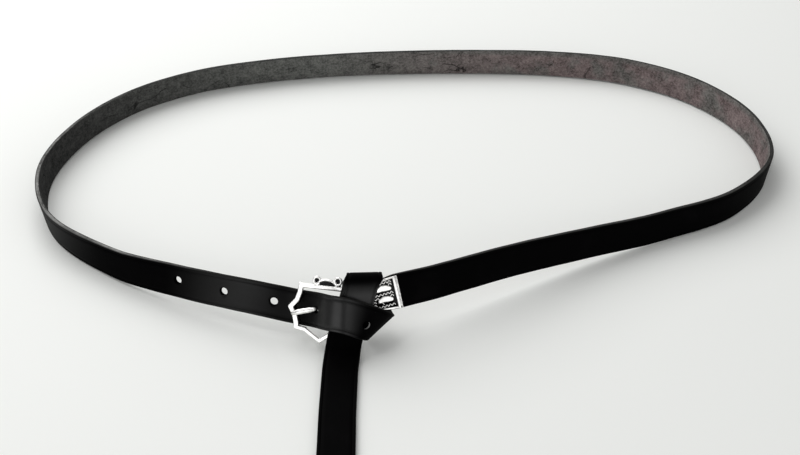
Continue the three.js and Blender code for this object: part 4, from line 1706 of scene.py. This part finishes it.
    def _rim(self, side: int, taper: float, width: float) -> bpy.types.Object:
        """The raised border along the plate's upper or lower edge.

        Args:
            side: 1 for the upper edge, -1 for the lower one.
            taper: how much that edge tapers.
            width: the border's width.

        Returns:
            The border.
        """
        near = Vector((self.rim_start, side * (self._edge(self.rim_start, taper) - width / 2)))
        far = Vector((self.flange_start, side * (self._edge(self.flange_start, taper) - width / 2)))
        line = far - near
        half = line.length / 2
        foot = (-half, -width / 2, self.raised_foot)
        rim = add_block(foot, (half, width / 2, self.front_level + self.rim_rise), self.rim_rounding)
        set_down(rim, (*(near + far) / 2, 0.0), math.atan2(line.y, line.x))
        return rim

    def _mark_ground(self, front: bpy.types.Object) -> np.ndarray:
        """Parts the front sheet's face at the ridge, so that only the patterned side is blackened.

        Args:
            front: the front sheet.

        Returns:
            1 for the vertices of the patterned ground, less for the flange, 0 for the others.
        """
        for x in self.ground_seam:
            slice_faces(front, (x, 0.0, 0.0), (1.0, 0.0, 0.0))
        rows = coordinates(front)
        face = rows[:, 2] > self.front_level - 2 * TOUCH
        ground = face & (rows[:, 0] < sum(self.ground_seam) / 2)
        return np.where(ground, 1.0, np.where(face, self.flange_greying, 0.0))

    def _hinge_point(self, y: float) -> Vector:
        """The point of the hinge bar's axis at height y of the plate.

        Args:
            y: the height in the plate's axes.

        Returns:
            The point, in the plate's axes.
        """
        to_plate = PLATE_AXES.inverted() @ FRAME_AXES
        top = to_plate @ Vector((0.0, BuckleFrame.half_height, 0.0))
        foot = to_plate @ Vector((0.0, -BuckleFrame.half_height, 0.0))
        return foot.lerp(top, (y - foot.y) / (top.y - foot.y))

    def _knuckles(self) -> List[bpy.types.Object]:
        """The two rolled tubes round the hinge bar and the webs that join them to the sheets.

        Returns:
            The two knuckles.
        """
        pieces = []
        for low, high in ((self.knuckle_foot, -self.eye_gap), (self.eye_gap, self.knuckle_top)):
            tube = add_rod(self._hinge_point(low), self._hinge_point(high), self.knuckle_radius, sides=32)
            middle = self._hinge_point((low + high) / 2)
            web_low = (middle.x, low + self.web_inset, -self.knuckle_radius + 0.15)
            web_high = (self.start + 0.3, high - self.web_inset, self.knuckle_radius - 0.15)
            knuckle = join([tube, add_block(web_low, web_high, 0.2)], "knuckle")
            bore = add_rod(self._hinge_point(-12), self._hinge_point(12), self.bore_radius, sides=32)
            take_away(knuckle, bore)
            pieces.append(knuckle)
        return pieces

    def _leaves(self) -> bpy.types.Object:
        """Two plump raised leaves, one above the other.

        Returns:
            The joined leaves.
        """
        level = self.front_level - self.leaf_sink
        pieces = [add_ball((x, y, level), radius) for x, y, radius in self.leaf_rows]
        for (x0, y0, r0), (x1, y1, r1) in zip(self.leaf_rows, self.leaf_rows[1:]):
            pieces.append(add_rod((x0, y0, level), (x1, y1, level), r0, r1))
        leaf = join(pieces, "leaf")
        fuse(leaf, 0.10, 10)
        rows = coordinates(leaf)
        proud = rows[:, 2] > level
        rows[proud, 2] = level + self.leaf_height * np.tanh((rows[proud, 2] - level) / self.leaf_height)
        set_coordinates(leaf, rows)
        pick(leaf)
        bpy.ops.object.duplicate()
        lower = bpy.context.object
        lower.location = (0.0, self.leaf_drop, 0.0)
        apply_place(lower)
        return join([leaf, lower], Part.LEAVES.value)

    def _near_leaf(self, x: float, y: float) -> bool:
        """Whether a point lies on or close beside a leaf.

        Args:
            x: along the plate.
            y: across it.

        Returns:
            Whether it does.
        """
        for drop in (0.0, self.leaf_drop):
            for (x0, y0, r0), (x1, y1, r1) in zip(self.leaf_rows, self.leaf_rows[1:]):
                start = Vector((x0, y0 + drop))
                line = Vector((x1, y1 + drop)) - start
                share = max(0.0, min(1.0, (Vector((x, y)) - start).dot(line) / line.length_squared))
                gap = (Vector((x, y)) - start - line * share).length
                if gap < r0 + (r1 - r0) * share + self.leaf_margin:
                    return True
        return False

    def _hatching(self) -> bpy.types.Object:
        """Raised strokes that zigzag in rows over the ground, and stay off the leaves.

        Returns:
            The joined strokes.
        """
        level = self.front_level
        strokes = []
        for y in self.stroke_levels:
            for column in range(self.stroke_columns):
                x = self.first_stroke + column * self.stroke_pitch
                low = -self._edge(x, self.lower_taper) + self.lower_rim_width + self.border_gap
                high = self._edge(x, self.upper_taper) - self.upper_rim_width - self.border_gap
                on_ridge = x > self.ridge_start - self.ridge_gap
                if self._near_leaf(x, y) or on_ridge or not low < y < high:
                    continue
                half = (self.stroke_width / 2, self.stroke_length / 2, self.stroke_height)
                foot = (-half[0], -half[1], -self.stroke_sink)
                stroke = add_block(foot, half, self.stroke_rounding, 2)
                set_down(stroke, (x, y, level), self.stroke_lean if column % 2 else -self.stroke_lean)
                strokes.append(stroke)
        return join(strokes, Part.HATCHING.value)


def dress(
    piece: bpy.types.Object, material: bpy.types.Material, nodes: Sequence[str]
) -> bpy.types.Object:
    """Gives a piece its material and ties it to the CAD model.

    Args:
        piece: the finished mesh object.
        material: its finish.
        nodes: the CAD nodes that it stands for.

    Returns:
        The same piece.
    """
    piece.data.materials.clear()
    piece.data.materials.append(material)
    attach(piece, BODY)
    if nodes:
        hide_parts(*nodes)
    log.info("%s: %d faces", piece.name, len(piece.data.polygons))
    return piece


def dress_rivet(node: bpy.types.Object, finish: CastSilver) -> None:
    """Gives the hidden rivet, which stays as the CAD model has it, the same metal."""
    node.data.materials.clear()
    node.data.materials.append(finish.build())


@dataclass
class Studio:
    """The pale table, the soft lights and the camera."""

    table_size: float = 6.0
    camera_place: Point = (-0.00612, -0.47424, 0.35249)
    camera_tilt: float = math.radians(54.0)
    camera_lens: float = 51.75
    film_width: float = 36.0
    world_light: float = 0.47
    # the soft lights: place in metres, side lengths in metres, watts
    lights: Tuple[Tuple[str, Point, Tuple[float, float], float], ...] = (
        ("key_light", (-0.52, 0.62, 0.92), (1.3, 1.3), 12.7),
        ("front_left_light", (-0.63, -1.17, 0.40), (1.0, 0.8), 3.3),
        ("front_right_light", (0.78, -1.07, 0.34), (0.9, 0.7), 2.3),
    )
    display_gamma: float = 0.88

    def build(self) -> None:
        """Makes the table, the lights and the camera."""
        self._table()
        self._world()
        for name, place, sides, watts in self.lights:
            self._soft_light(name, place, sides, watts)
        self._camera()
        settings = bpy.context.scene.view_settings
        settings.view_transform = "Standard"
        settings.look = "None"
        settings.gamma = self.display_gamma

    def _table(self) -> None:
        """A large flat board at the height that the belt rests on."""
        deselect_all()
        bpy.ops.mesh.primitive_plane_add(size=self.table_size, location=(0.0, 0.0, 0.0))
        table = bpy.context.object
        table.name = "pale_table"
        table.data.materials.append(PaleTable().build())

    def _world(self) -> None:
        """Even white light from all round."""
        world = bpy.data.worlds.new("white_room")
        world.use_nodes = True
        background = world.node_tree.nodes["Background"]
        background.inputs["Color"].default_value = (1.0, 1.0, 1.0, 1.0)
        background.inputs["Strength"].default_value = self.world_light
        bpy.context.scene.world = world

    @staticmethod
    def _soft_light(name: str, place: Point, sides: Tuple[float, float], watts: float) -> None:
        """A rectangular area light that faces the belt.

        Args:
            name: the light's name.
            place: where it hangs, in metres.
            sides: its width and height, in metres.
            watts: its power.
        """
        data = bpy.data.lights.new(name, "AREA")
        data.shape = "RECTANGLE"
        data.size, data.size_y = sides
        data.energy = watts
        light = bpy.data.objects.new(name, data)
        light.location = place
        light.rotation_euler = (-Vector(place)).to_track_quat("-Z", "Y").to_euler()
        bpy.context.scene.collection.objects.link(light)

    def _camera(self) -> None:
        """The camera at the photograph's place."""
        data = bpy.data.cameras.new("photo_camera")
        data.sensor_width = self.film_width
        data.lens = self.camera_lens
        camera = bpy.data.objects.new("photo_camera", data)
        camera.location = self.camera_place
        camera.rotation_euler = (self.camera_tilt, 0.0, 0.0)
        bpy.context.scene.collection.objects.link(camera)
        bpy.context.scene.camera = camera


def main() -> None:
    """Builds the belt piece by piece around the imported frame."""
    logging.basicConfig(level=logging.INFO, format="%(name)s: %(message)s")
    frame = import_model()
    silver = CastSilver()
    Strap().build()
    BuckleFrame().build(silver)
    Pin().build(silver)
    Plate().build(silver)
    dress_rivet(frame["nodes"]["plate_rivet"], silver)
    Studio().build()


if __name__ == "__main__":
    main()
